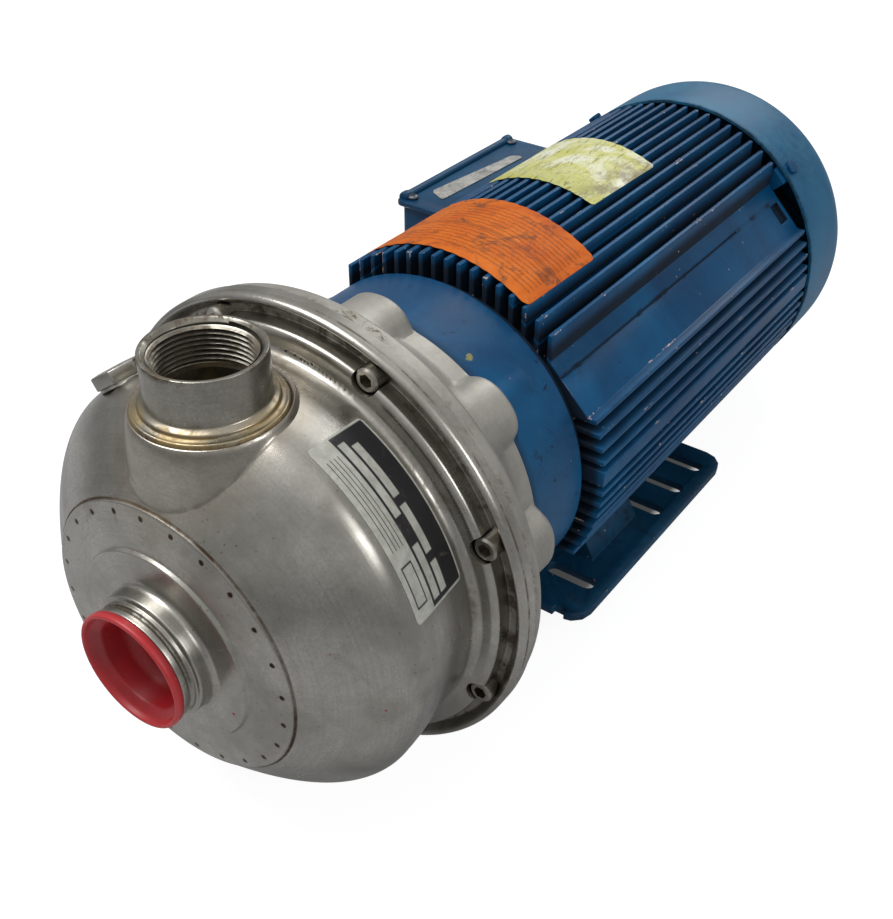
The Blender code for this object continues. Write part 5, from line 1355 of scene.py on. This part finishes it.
@dataclass
class SuctionCap:
    """Red plastic cup that closes the suction nozzle."""

    rim_r: float = 0.027
    rim_thick: float = 0.0038
    plug_r: float = 0.0225
    wall: float = 0.0018
    depth: float = 0.016
    mouth_r: float = 0.0212

    def build(self) -> None:
        """Turn the cup with its rolled rim."""
        seat = NOZZLE_END_Y - 0.0003
        front = seat - self.rim_thick
        floor = seat + self.depth
        wall = self.wall
        profile: list[Corner] = [(floor - wall, 0.0), (floor - wall, self.plug_r - 0.0045 - wall, 0.003),
                                 (floor - 0.005, self.plug_r - 0.002 - wall, 0.002),
                                 (seat + 0.0012, self.mouth_r - 0.0006, 0.001),
                                 (seat - 0.0012, self.mouth_r + 0.003, 0.001),
                                 (front, self.mouth_r + 0.004, 0.0006),
                                 (front, self.rim_r - 0.0006, 0.0006), (front + 0.001, self.rim_r, 0.0008),
                                 (seat, self.rim_r - 0.0002, 0.0004), (seat, self.plug_r, 0.0004),
                                 (floor - 0.003, self.plug_r - 0.001, 0.002),
                                 (floor, self.plug_r - 0.003, 0.0015), (floor, 0.0)]
        shape = turned(rounded(profile, closed=False), SHAFT, 128, closed=False)
        add_piece("shipping_cap", shape, self.finish(), ["suction_cap"], Body.CAP, 40.0)

    def finish(self) -> Material:
        """Moulded red plastic, paler and scuffed on its rim.

        Returns:
            The material.
        """
        g = Graph("moulded_red_plastic")
        cloud = g.noise(60.0, 5.0, 0.6)
        rim = g.ramp(g.y, NOZZLE_END_Y - 0.0008, NOZZLE_END_Y - 0.003)
        g.color = g.mix(g.ramp(cloud, 0.3, 0.7), (0.42, 0.014, 0.02), (0.3, 0.01, 0.014))
        g.paint(rim * 0.5, (0.62, 0.04, 0.045))
        scuff = g.ramp(g.noise(320.0, 4.0, 0.7), 0.62, 0.7, 0.0, 0.35)
        g.paint(scuff, (0.45, 0.09, 0.08))
        return g.set(roughness=g.blend(cloud, 0.32, 0.5), metallic=0.0,
                     normal=g.bump(g.noise(700.0, 3.0, 0.6), 0.15, 0.0001))


@dataclass
class Adapter:
    """Bead-blasted cast adapter with eight lobes and two windows."""

    rim_r: float = 0.1125
    neck_r: float = 0.0835
    lobe_r: float = 0.0125
    lobe_half: float = 0.0165
    lobe_circle: float = 0.0825
    lobe_length: float = 0.026
    window_angles: tuple[float, ...] = (-30.0, 150.0)
    window_y: Pair = (-0.16025, -0.14625)
    window_half: float = 0.034

    def build(self) -> None:
        """Turn the cone, raise the lobes and cut the windows."""
        front, rear = JOINT_Y + 0.0003, FACE_Y - 0.0003
        rim = JOINT_Y + 0.011
        outside: list[Corner] = [
            (front, 0.084), (front, self.rim_r, 0.0012), (rim - 0.003, self.rim_r - 0.0005, 0.002),
            (rim, self.rim_r - 0.004, 0.003), (rim + 0.011, self.neck_r + 0.011, 0.008),
            (rim + 0.023, self.neck_r + 0.003, 0.008), (rear - 0.009, self.neck_r + 0.0005, 0.003)]
        line = rounded(outside, closed=False, steps=8)
        fine = evenly(line.pop(), (rear, self.neck_r), 10)
        inside: list[Corner] = [
            (rear, 0.0575), (rear - 0.0032, 0.0575), (rear - 0.0032, 0.0502), (FACE_Y - 0.012, 0.0502),
            (FACE_Y - 0.012, 0.0685), (rim + 0.023, 0.078), (rim + 0.011, 0.084), (rim - 0.001, 0.094),
            (rim - 0.001, 0.084)]
        shape = turned(line + fine + inside, SHAFT, 320)
        for vert in shape.verts:
            self.raise_lobe(vert)
        bmesh.ops.recalc_face_normals(shape, faces=shape.faces)
        piece = add_piece("cast_adapter", shape, self.finish(), ["adapter"], sharp=32.0)
        low, high = self.window_y
        half = self.window_half
        windows = [moved(rounded_box((-half, low, 0.066), (half, high, 0.13), 0.004, 2),
                         turned_about(SHAFT.origin, angle)) for angle in self.window_angles]
        carve(piece, windows, 32.0)
        self.build_bolts()

    def raise_lobe(self, vert: bmesh.types.BMVert) -> None:
        """Push an outer vertex out where a lobe swells the cone.

        Args:
            vert: The vertex.
        """
        offset = vert.co - Vector((0.0, vert.co.y, SHAFT_HEIGHT))
        radius = offset.length
        station = vert.co.y
        start = FACE_Y - 0.0003 - self.lobe_length
        if station < start - 0.012 or radius < 0.0795:
            return
        turn = math.atan2(offset.x, offset.z) % (math.pi / 4)
        turn = min(turn, math.pi / 4 - turn)
        side = self.lobe_circle * math.sin(turn)
        share = min(abs(side) / self.lobe_half, 1.0)
        lobe = self.lobe_circle * math.cos(turn) + self.lobe_r * (1 - share ** 2.6) ** 0.5
        lobe -= 4 * max(abs(side) - self.lobe_half, 0.0)
        edge = max(station - (FACE_Y - 0.0003 - 0.004), 0.0) / 0.004
        lobe -= 0.0028 * (1 - math.sqrt(max(1 - edge * edge, 0.0)))
        grown = smooth_step(start - 0.01, start + 0.002, station)
        lobe = self.neck_r - 0.006 + (lobe - self.neck_r + 0.006) * grown
        wanted = smooth_max(radius, lobe, 0.005)
        vert.co += offset.normalized() * (wanted - radius)

    def build_bolts(self) -> None:
        """Seat the four bolts that hold the adapter to the motor."""
        steel = PlainFinish("adapter_bolt_steel", (0.3, 0.29, 0.27), (0.12, 0.11, 0.1), 0.4, 1.0).material()
        head = SocketHead(0.0072, 0.0086, 0.0064, 0.004)
        for index, angle in enumerate(QUARTERS):
            place = around(angle, 0.0746, FACE_Y - 0.0118)
            seat_bolt(f"adapter_bolt_{index + 1}", head, place, 0.0, (0.0047, 0.025, 0.0124), steel)

    def finish(self) -> Material:
        """Beige-grey blasted casting with rust spots, and with brown gunk and a crust by the joint.

        Returns:
            The material.
        """
        g = Graph("bead_blasted_casting")
        cloud = g.noise(26.0, 6.0, 0.6, warp=0.5)
        fine = g.noise(650.0, 3.0, 0.65)
        g.color = g.mix(g.ramp(cloud, 0.3, 0.7), (0.44, 0.425, 0.385), (0.31, 0.3, 0.27))
        g.paint(g.ramp(fine, 0.4, 0.7) * 0.25, (0.5, 0.47, 0.42))
        clots = g.ramp(g.noise(60.0, 6.0, 0.7, warp=1.0), 0.46, 0.62, 0.0, 0.9)
        gunk = g.ramp(g.y, JOINT_Y + 0.006, JOINT_Y + 0.0005) * clots
        rust = g.ramp(g.noise(45.0, 7.0, 0.75, warp=1.5), 0.64, 0.74, 0.0, 0.5)
        g.paint(rust, (0.19, 0.11, 0.05))
        across = g.shaft_angle() - math.radians(14.0)
        patch = g.ramp(abs(across), 0.08, 0.16, 1.0, 0.0) * g.ramp(g.y, JOINT_Y + 0.016, JOINT_Y + 0.002)
        crust = patch * g.ramp(g.noise(150.0, 6.0, 0.75, warp=2.0), 0.53, 0.6)
        g.paint(crust, (0.12, 0.085, 0.035))
        g.paint(gunk, (0.085, 0.055, 0.03))
        rough = g.blend(gunk, g.blend(cloud, 0.42, 0.58), 0.8)
        normal = g.bump(fine, 0.35, 0.0004, g.bump(g.noise(90.0, 3.0, 0.5), 0.2, 0.001))
        return g.set(roughness=rough, metallic=0.85, normal=normal)


@dataclass
class MotorBell:
    """Blue bell at the motor's front, with four bolt pads and the dark joint ring behind it."""

    face_r: float = 0.0825
    end_r: float = 0.0828
    ring_r: float = 0.0795
    pad_r: float = 0.0094
    pad_circle: float = 0.0746

    def build(self) -> None:
        """Turn the bell and swell its pads."""
        face = FACE_Y
        line: list[Corner] = [(face - 0.0032, 0.0512), (face - 0.0032, 0.0571, 0.0004), (face, 0.0571),
                              (face, self.face_r, 0.0014)]
        points = rounded(line, closed=False)
        points += evenly((face + 0.0014, self.face_r), (BELL_END_Y - 0.0012, self.end_r), 24)
        tail: list[Corner] = [(BELL_END_Y, self.end_r - 0.0011), (BELL_END_Y, self.ring_r),
                              (FRAME_Y - 0.0003, self.ring_r), (FRAME_Y - 0.0003, 0.0685),
                              (BELL_END_Y - 0.004, 0.0665), (face + 0.014, 0.074), (face + 0.014, 0.0512)]
        shape = turned(points + tail, SHAFT, 256)
        for vert in shape.verts:
            self.swell(vert)
        bmesh.ops.recalc_face_normals(shape, faces=shape.faces)
        finish = Paint("blue_paint_bell", haze_share=0.12)
        add_piece("motor_bell", shape, finish.material(self.grime, marks=self.fleck),
                  ["front_end_shield"], sharp=30.0)

    @staticmethod
    def fleck(g: Graph) -> None:
        """Yellow fleck and dark scuffs on the bell's upper side.

        Args:
            g: Graph of the material.
        """
        across = (g.shaft_angle() - math.radians(28.8)) * 0.0825
        away = g.y + 0.1195
        ragged = (g.noise(420.0, 3.0, 0.6) - 0.5) * 0.006
        distance = g.length(across, away)
        spot = g.ramp(distance + ragged, 0.0014, 0.0022, 1.0, 0.0)
        g.paint(spot * 0.8, (0.3, 0.27, 0.07))
        scuff = g.ramp(g.noise(48.0, 3.0, 0.6, warp=4.0), 0.665, 0.7) * 0.85
        g.paint(scuff, (0.002, 0.006, 0.014))

    def swell(self, vert: bmesh.types.BMVert) -> None:
        """Push an outer vertex out over a bolt pad.

        Args:
            vert: The vertex.
        """
        offset = vert.co - Vector((0.0, vert.co.y, SHAFT_HEIGHT))
        radius = offset.length
        if radius < 0.0815 or vert.co.y < FACE_Y + 0.0002:
            return
        turn = (math.atan2(offset.x, offset.z) - math.pi / 4) % (math.pi / 2)
        turn = min(turn, math.pi / 2 - turn)
        side = self.pad_circle * math.sin(turn)
        if side < self.pad_r:
            pad = self.pad_circle * math.cos(turn) + math.sqrt(self.pad_r ** 2 - side ** 2)
            grown = smooth_step(FACE_Y + 0.034, FACE_Y + 0.026, vert.co.y)
            pad = radius - 0.004 + (pad - radius + 0.004) * grown
            vert.co += offset.normalized() * (smooth_max(radius, pad, 0.0015) - radius)

    @staticmethod
    def grime(g: Graph) -> Value:
        """Dark line at the bell's rear edge, smears over the paint, and painted shadow at its front next to
        the adapter.

        Args:
            g: Graph of the material.

        Returns:
            The mask.
        """
        ring = g.ramp(g.y, BELL_END_Y - 0.0014, BELL_END_Y - 0.0004)
        smear = g.ramp(g.noise(34.0, 5.0, 0.7, warp=2.0), 0.6, 0.72, 0.0, 0.55)
        # painted shadow: darker at the bell's front, next to the adapter
        low = g.ramp(g.y, FACE_Y + 0.006, FACE_Y + 0.001) * 0.5
        return g.most(ring * 0.95, smear, low)


@dataclass
class MotorFrame:
    """Finned blue frame with its foot and labels."""

    tip_r: float = 0.0915
    core_r: float = 0.076
    pitch: float = 0.0072
    seam_x: float = 0.0648
    flat_sum: float = 0.11597

    def build(self) -> None:
        """Round the frame's edges, press the seams and lay the labels."""
        finish = Paint("blue_paint_frame")
        shape = merged_copy("motor_frame", 0.00045, 2, 28.0, 0.0009)
        piece = add_piece("finned_frame", shape, finish.material(self.grime), ["motor_frame"],
                          sharp=40.0)
        height = SHAFT_HEIGHT + self.flat_sum - self.seam_x
        corner, opposite = (-0.0006, FRAME_Y - 0.002, -0.0007), (0.0006, 0.105, 0.002)
        seams = [moved(rounded_box(corner, opposite, 0.0003, 1, 3),
                       turned_about((side * self.seam_x, 0.0, height), 45.0 * side)) for side in (-1, 1)]
        carve(piece, seams, 40.0)
        self.build_foot()
        self.build_labels()

    def grime(self, g: Graph) -> Value:
        """Painted shade between the fins, deepest at their roots, and dark grime along the seams.

        Args:
            g: Graph of the material.

        Returns:
            The mask.
        """
        # painted shade: darker with depth between the fins, deepest at their roots
        depth = g.ramp(g.radius_from(SHAFT), self.tip_r - 0.0003, self.core_r + 0.0095)
        flat = g.ramp(abs(abs(g.x) + g.z - (self.flat_sum + SHAFT_HEIGHT)), 0.0004, 0.0012)
        cloud = g.noise(38.0, 6.0, 0.7, warp=0.8)
        # painted shade between the fins, broken up a little by noise
        between = depth * flat * g.ramp(cloud, 0.2, 0.6, 0.88, 0.98)
        seam_place = abs(abs(g.x) - self.seam_x)
        seam = g.ramp(seam_place, 0.0004, 0.0014, 1.0, 0.0) * g.ramp(cloud, 0.5, 0.6, 0.15, 0.9)
        above = g.ramp(g.z, SHAFT_HEIGHT + 0.03, SHAFT_HEIGHT + 0.036)
        return g.most(between, seam * above)

    def build_foot(self) -> None:
        """Round the foot's edges and give the foot its finish."""
        finish = Paint("blue_paint_foot", deep=(0.003, 0.035, 0.08), light=(0.008, 0.065, 0.135),
                       haze_share=0.2)
        shape = merged_copy("foot", 0.0006, 2, 40.0, 0.0016)
        add_piece("slotted_foot", shape, finish.material(foot_grime), ["foot"], sharp=35.0)

    def tip(self, angle: float, y: float) -> float:
        """Radius of the labels on the fins' tips, which sag a little between the fins."""
        across = self.tip_r * math.sin(math.radians(angle)) / self.pitch
        return self.tip_r - 0.00022 * (0.5 - 0.5 * math.cos(2 * math.pi * across))

    def build_labels(self) -> None:
        """Lay the orange and the yellow label on the fins."""
        orange = LabelPatch(corners=((-39.7, -0.069), (28.5, -0.0805), (29.0, -0.021), (-39.7, -0.004)),
                            lift=0.00065, round_share=0.05, columns=180, rows=40)
        add_piece("orange_label", orange.shape(self.tip), orange_label_finish())
        yellow = LabelPatch(corners=((-33.1, 0.0287), (14.3, 0.0137), (15.1, 0.0772), (-38.3, 0.1025)),
                            lift=0.00065, round_share=0.02, columns=160, rows=40)
        add_piece("yellow_label", yellow.shape(self.tip), yellow_label_finish())


def foot_grime(g: Graph) -> Value:
    """Patches of dirt on the foot."""
    return g.ramp(g.noise(48.0, 6.0, 0.7, warp=1.0), 0.5, 0.72, 0.0, 0.75)


@dataclass
class FanEnd:
    """Fan cover with its grille and screws."""

    radius: float = 0.092
    wall: float = 0.0016
    turn: float = 0.014
    slots: int = 16
    slot_inner: float = 0.022
    slot_outer: float = 0.0545
    slot_width: float = 0.005

    def build(self) -> None:
        """Turn the cover, cut its slots and seat its screws."""
        inner = self.radius - self.wall
        end = COVER_END_Y
        profile: list[Corner] = [
            (COVER_Y, inner), (COVER_Y, self.radius, 0.0003), (end, self.radius, self.turn * 1.6), (end, 0.0),
            (end - self.wall, 0.0), (end - self.wall, inner, self.turn * 1.5)]
        shape = turned(rounded(profile, steps=12), SHAFT, 192)
        bmesh.ops.dissolve_degenerate(shape, edges=shape.edges, dist=1e-6)
        paint = Paint("blue_paint_cover", deep=(0.004, 0.078, 0.175), light=(0.012, 0.14, 0.27),
                      haze_share=0.3)
        piece = add_piece("ventilated_cover", shape, paint.material(self.grime, self.dust_and_sheen),
                          ["fan_cover"], sharp=35.0)
        half = self.slot_width / 2
        corner, opposite = (self.slot_inner, end - 0.006, -half), (self.slot_outer, end + 0.004, half)
        slots = [moved(rounded_box(corner, opposite, self.slot_width * 0.49, 1),
                       turned_about(SHAFT.origin, 360.0 * index / self.slots)) for index in range(self.slots)]
        carve(piece, slots)
        material = Paint("blue_paint_screws", haze_share=0.4).material()
        for index, angle in enumerate(QUARTERS):
            name = f"fan_cover_screw_{index + 1}"
            low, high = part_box(name)
            centre = (low + high) / 2
            head = stand(HexHead(0.008, 0.003, 0.0006).shape(),
                         around(angle, self.radius + 0.0001, centre.y), outward_at(angle), 20.0 * index)
            add_piece(f"hexagon_{name}", head, material, [name])

    @staticmethod
    def grime(g: Graph) -> Value:
        """Thin dark grime at the cover's front edge."""
        edge = g.ramp(g.y, COVER_Y + 0.003, COVER_Y + 0.0004)
        return edge * g.ramp(g.noise(50.0, 5.0, 0.7), 0.4, 0.6, 0.1, 0.8)

    @staticmethod
    def dust_and_sheen(g: Graph) -> Value:
        """Pale dust and painted sheen on the cover's upper side, paler towards the top."""
        # painted sheen: paler towards the top of the cover, mixed with dust
        high = g.ramp(g.z, SHAFT_HEIGHT + 0.01, SHAFT_HEIGHT + 0.09)
        return high * g.ramp(g.noise(22.0, 6.0, 0.65, warp=0.8), 0.35, 0.7, 0.1, 0.75)


@dataclass
class TerminalBox:
    """Terminal box with its lid, lid screws, rolled edge and nameplate."""

    lid_top: float = SHAFT_HEIGHT + 0.0521
    plate: tuple[Pair, ...] = (
        (-0.1021, 0.0465), (-0.0899, 0.0403), (-0.0864, 0.1223), (-0.0933, 0.1204))
    knob_places: tuple[Pair, ...] = ((-0.1095, 0.03), (-0.1095, 0.14))

    def build(self) -> None:
        """Round the box and its lid and dress them."""
        paint = Paint("blue_paint_box", deep=(0.003, 0.038, 0.095), light=(0.008, 0.07, 0.15),
                      haze_share=0.15)
        material = paint.material()
        add_piece("ribbed_terminal_box", merged_copy("terminal_box", 0.0006, 3, 35.0, 0.0016), material,
                  ["terminal_box"])
        add_piece("box_lid", merged_copy("terminal_box_lid", 0.0005, 3, 35.0, 0.0012), material,
                  ["terminal_box_lid"])
        steel = PlainFinish("lid_screw_steel", (0.2, 0.21, 0.22), (0.05, 0.07, 0.1), 0.45, 0.8).material()
        for index in range(4):
            name = f"lid_screw_{index + 1}"
            low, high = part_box(name)
            centre = (low + high) / 2
            head = stand(PanHead(0.0032, 0.0018).shape(), Vector((centre.x, centre.y, high.z - 0.0018)),
                         Vector((0.0, 0.0, 1.0)), 35.0 * index)
            add_piece(f"pan_{name}", head, steel, [name])
        self.build_roll(material)
        self.build_plate()

    def build_roll(self, material: Material) -> None:
        """Roll the lid's far edge and end it in two knobs.

        Args:
            material: Finish of the lid.
        """
        (x, y0), (_, y1) = self.knob_places
        edge = Line((x, 0.0, self.lid_top + 0.0004), (0.0, 1.0, 0.0), (0.0, 0.0, 1.0))
        profile: list[Corner] = [(y0 - 0.0016, 0.0), (y0 - 0.0016, 0.0034, 0.002),
                                 (y0 + 0.0036, 0.0034, 0.0016), (y0 + 0.0056, 0.0026, 0.002),
                                 (y1 - 0.0056, 0.0026, 0.002), (y1 - 0.0036, 0.0034, 0.0016),
                                 (y1 + 0.0016, 0.0034, 0.002), (y1 + 0.0016, 0.0)]
        add_piece("lid_rolled_edge", turned(rounded(profile, closed=False), edge, 32, closed=False),
                  material)

    def build_plate(self) -> None:
        """Lay the silver nameplate on the lid."""
        shape = bmesh.new()
        corners = [shape.verts.new((x, y, self.lid_top + 0.0001)) for x, y in self.plate]
        bmesh.ops.contextual_create(shape, geom=corners)
        bmesh.ops.bevel(shape, geom=list(shape.verts), offset=0.0032, segments=5, profile=0.5,
                        affect="VERTICES", material=-1)
        raised(shape, bmesh.ops.extrude_face_region(shape, geom=list(shape.faces)), 0.0004)
        bmesh.ops.recalc_face_normals(shape, faces=shape.faces)
        g = Graph("stamped_nameplate")
        cloud = g.noise(120.0, 6.0, 0.7, warp=0.6)
        g.color = g.mix(g.ramp(cloud, 0.35, 0.7), (0.55, 0.54, 0.5), (0.26, 0.26, 0.25))
        rows = g.calc("SINE", g.x * (2 * math.pi / 0.0022))
        press = g.ramp(rows, 0.75, 0.9) * g.ramp(g.noise(420.0, 2.0, 0.6), 0.48, 0.56)
        g.paint(press * 0.45, (0.12, 0.12, 0.12))
        material = g.set(roughness=g.blend(cloud, 0.35, 0.6), metallic=0.9,
                         normal=g.bump(press, 0.4, 0.0002))
        add_piece("blank_nameplate", shape, material)


@dataclass(frozen=True)
class InnerFinishes:
    """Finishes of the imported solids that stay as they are."""

    plain: tuple[tuple[PlainFinish, tuple[str, ...]], ...] = (
        (PlainFinish("machined_steel", (0.5, 0.49, 0.47), (0.3, 0.29, 0.28), 0.3, 1.0),
         ("shaft", "impeller_key", "seal_spring", "wave_washer", "fan_clip", "foot_bolt_1", "foot_bolt_2",
          "front_bearing_inner_ring", "front_bearing_outer_ring", "front_bearing_cage",
          "rear_bearing_inner_ring", "rear_bearing_outer_ring", "rear_bearing_cage")),
        (PlainFinish("black_rubber", (0.014, 0.014, 0.014), (0.03, 0.029, 0.028), 0.7, 0.0),
         ("casing_oring", "slinger")),
        (PlainFinish("lapped_carbon", (0.025, 0.025, 0.028), (0.06, 0.06, 0.065), 0.35, 0.1),
         ("seal_head", "seal_seat")),
        (PlainFinish("moulded_black_plastic", (0.016, 0.016, 0.017), (0.035, 0.035, 0.036), 0.5, 0.0),
         ("fan", "wear_ring", "terminal_block")))

    def build(self) -> None:
        """Give every solid that stays its finish."""
        for finish, names in self.plain:
            self.dress(finish.material(), names)
        self.dress(Stainless("wet_end_stainless", brushing=0.5).material(),
                   ("impeller", "guide_vane", "seal_housing", "impeller_nut"))
        self.dress(Laminations().material(), ("rotor_core", "stator_core"))
        self.dress(Windings().material(), ("front_winding", "rear_winding"))
        self.dress(Paint("blue_paint_rear_shield", haze_share=0.3).material(foot_grime), ("rear_end_shield",))

    @staticmethod
    def dress(material: Material, names: Sequence[str]) -> None:
        """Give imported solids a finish.

        Args:
            material: The finish.
            names: The solids.
        """
        for name in names:
            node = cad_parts[name]
            node.data.materials.clear()
            node.data.materials.append(material)
        log.info("%s: %d solids", material.name, len(names))


@dataclass
class Studio:
    """Pale floor, soft lamps, world and camera."""

    floor_front: Pair = (-0.18, -0.025)
    floor_rear: Pair = (0.21, -0.0031)
    camera_place: Point = (0.2868, -0.4836, 0.4315)
    camera_target: Point = (0.0, -0.08, 0.0652)
    camera_roll: float = 0.4
    lens: float = 46.71
    sensor: float = 36.0
    reflections: tuple[Pair, ...] = ((0.0, 0.34), (0.47, 0.24), (0.56, 0.34), (0.66, 0.52), (0.8, 0.5),
                                     (1.0, 0.95))
    grey: Color = (0.36, 0.365, 0.38)
    glow: float = 1.27
    glow_seen: float = 0.72
    # glow of the floor within the painted shadow under the foot
    glow_in_painted_shadow: float = 0.04
    glow_mirrored: float = 0.06

    def build(self) -> None:
        """Set up the floor, the lamps, the world and the camera."""
        self.build_floor()
        self.build_world()
        self.build_lamp("key", (-0.45, -0.45, 1.25), 0.7, 10.0)
        self.build_lamp("fill", (1.1, -0.1, 0.8), 0.5, 3.0)
        self.build_lamp("back", (-0.2, 1.2, 1.0), 0.8, 4.5)
        self.build_camera()
        bpy.context.scene.view_settings.view_transform = "Standard"

    def build_floor(self) -> None:
        """Lay the floor under the flange and the fan cover, on which the pump rests askew, with a painted
        shadow under the foot.
        """
        shape = bmesh.new()
        bmesh.ops.create_grid(shape, x_segments=8, y_segments=8, size=4.0)
        (y0, z0), (y1, z1) = self.floor_front, self.floor_rear
        slope = Matrix.Rotation(math.atan2(z1 - z0, y1 - y0), 4, "X")
        moved(shape, Matrix.Translation((0.0, y0, z0)) @ slope)
        floor = place_object("floor", finish_mesh(shape, "floor"))
        g = Graph("pale_floor")
        ray = g.node("ShaderNodeLightPath").outputs
        pale = g.mix(ray["Is Glossy Ray"], (0.86, 0.86, 0.86), (0.46, 0.46, 0.46))
        # painted shadow: a dark patch on the floor under the foot, where it also glows less
        under = g.band(g.x, -0.078, 0.072, 0.006) * g.band(g.y, -0.05, 0.098, 0.006)
        g.color = g.mix(under * 0.85, pale, (0.12, 0.12, 0.12))
        g.set(roughness=0.9, specular=0.1)
        seen = g.blend(under, self.glow_seen, self.glow_in_painted_shadow) * ray["Is Camera Ray"]
        mirrored = g.calc("MULTIPLY", ray["Is Glossy Ray"], self.glow_mirrored)
        glow = g.run("ShaderNodeEmission", {"Color": (1.0, 1.0, 1.0), "Strength": self.glow})
        surface = g.run("ShaderNodeMixShader", {0: g.most(seen, mirrored), 1: g.shader.outputs[0], 2: glow})
        g.feed(g.tree.nodes["Material Output"].inputs["Surface"], surface)
        floor.data.materials.append(g.material)

    def build_world(self) -> None:
        """White towards the camera, a studio's soft gradient in reflections, and plain grey light."""
        world = bpy.data.worlds.new("studio")
        world.use_nodes = True
        bpy.context.scene.world = world
        g = NodeGraph(world.node_tree)
        background = g.tree.nodes["Background"].inputs
        ray = g.node("ShaderNodeLightPath").outputs
        up = g.split(g.node("ShaderNodeTexCoord").outputs["Generated"])[2]
        gradient = g.node("ShaderNodeValToRGB")
        stops = gradient.color_ramp.elements
        for index, (at, level) in enumerate(self.reflections):
            stop = stops[index] if index < 2 else stops.new(at)
            stop.position, stop.color = at, (level, level, level, 1.0)
        g.feed(gradient.inputs[0], up * 0.5 + 0.5)
        unseen = g.mix(ray["Is Glossy Ray"], self.grey, gradient.outputs[0])
        seen = g.most(ray["Is Camera Ray"], ray["Is Transmission Ray"])
        g.feed(background["Color"], g.mix(seen, unseen, (1.0, 1.0, 1.0)))
        g.feed(background["Strength"], 1.0)

    def build_lamp(self, name: str, place: Point, size: float, power: float) -> None:
        """Add a soft lamp that faces the pump.

        Args:
            name: Name of the lamp.
            place: Where it stands.
            size: Side of its square.
            power: Its power in watts.
        """
        data = bpy.data.lights.new(name, "AREA")
        data.size = size
        data.energy = power
        lamp = place_object(name, data)
        lamp.location = place
        lamp.rotation_euler = (Vector((0.0, -0.05, 0.08)) - Vector(place)).to_track_quat("-Z", "Y").to_euler()

    def build_camera(self) -> None:
        """Place the camera where the photograph was taken from."""
        data = bpy.data.cameras.new("camera")
        data.lens = self.lens
        data.sensor_width = self.sensor
        data.sensor_fit = "AUTO"
        camera = place_object("camera", data)
        aim = Vector(self.camera_target) - Vector(self.camera_place)
        turn = aim.to_track_quat("-Z", "Y").to_matrix().to_4x4()
        roll = Matrix.Rotation(math.radians(self.camera_roll), 4, "Z")
        camera.matrix_world = Matrix.Translation(self.camera_place) @ turn @ roll
        bpy.context.scene.camera = camera


def main() -> None:
    """Build the studio, then the pump from its casing to its fan."""
    Studio().build()
    for part in (Casing(), SuctionCap(), Adapter(), MotorBell(), MotorFrame(), FanEnd(), TerminalBox(),
                 InnerFinishes()):
        part.build()
        log.info("built %s", type(part).__name__)


if __name__ == "__main__":
    main()
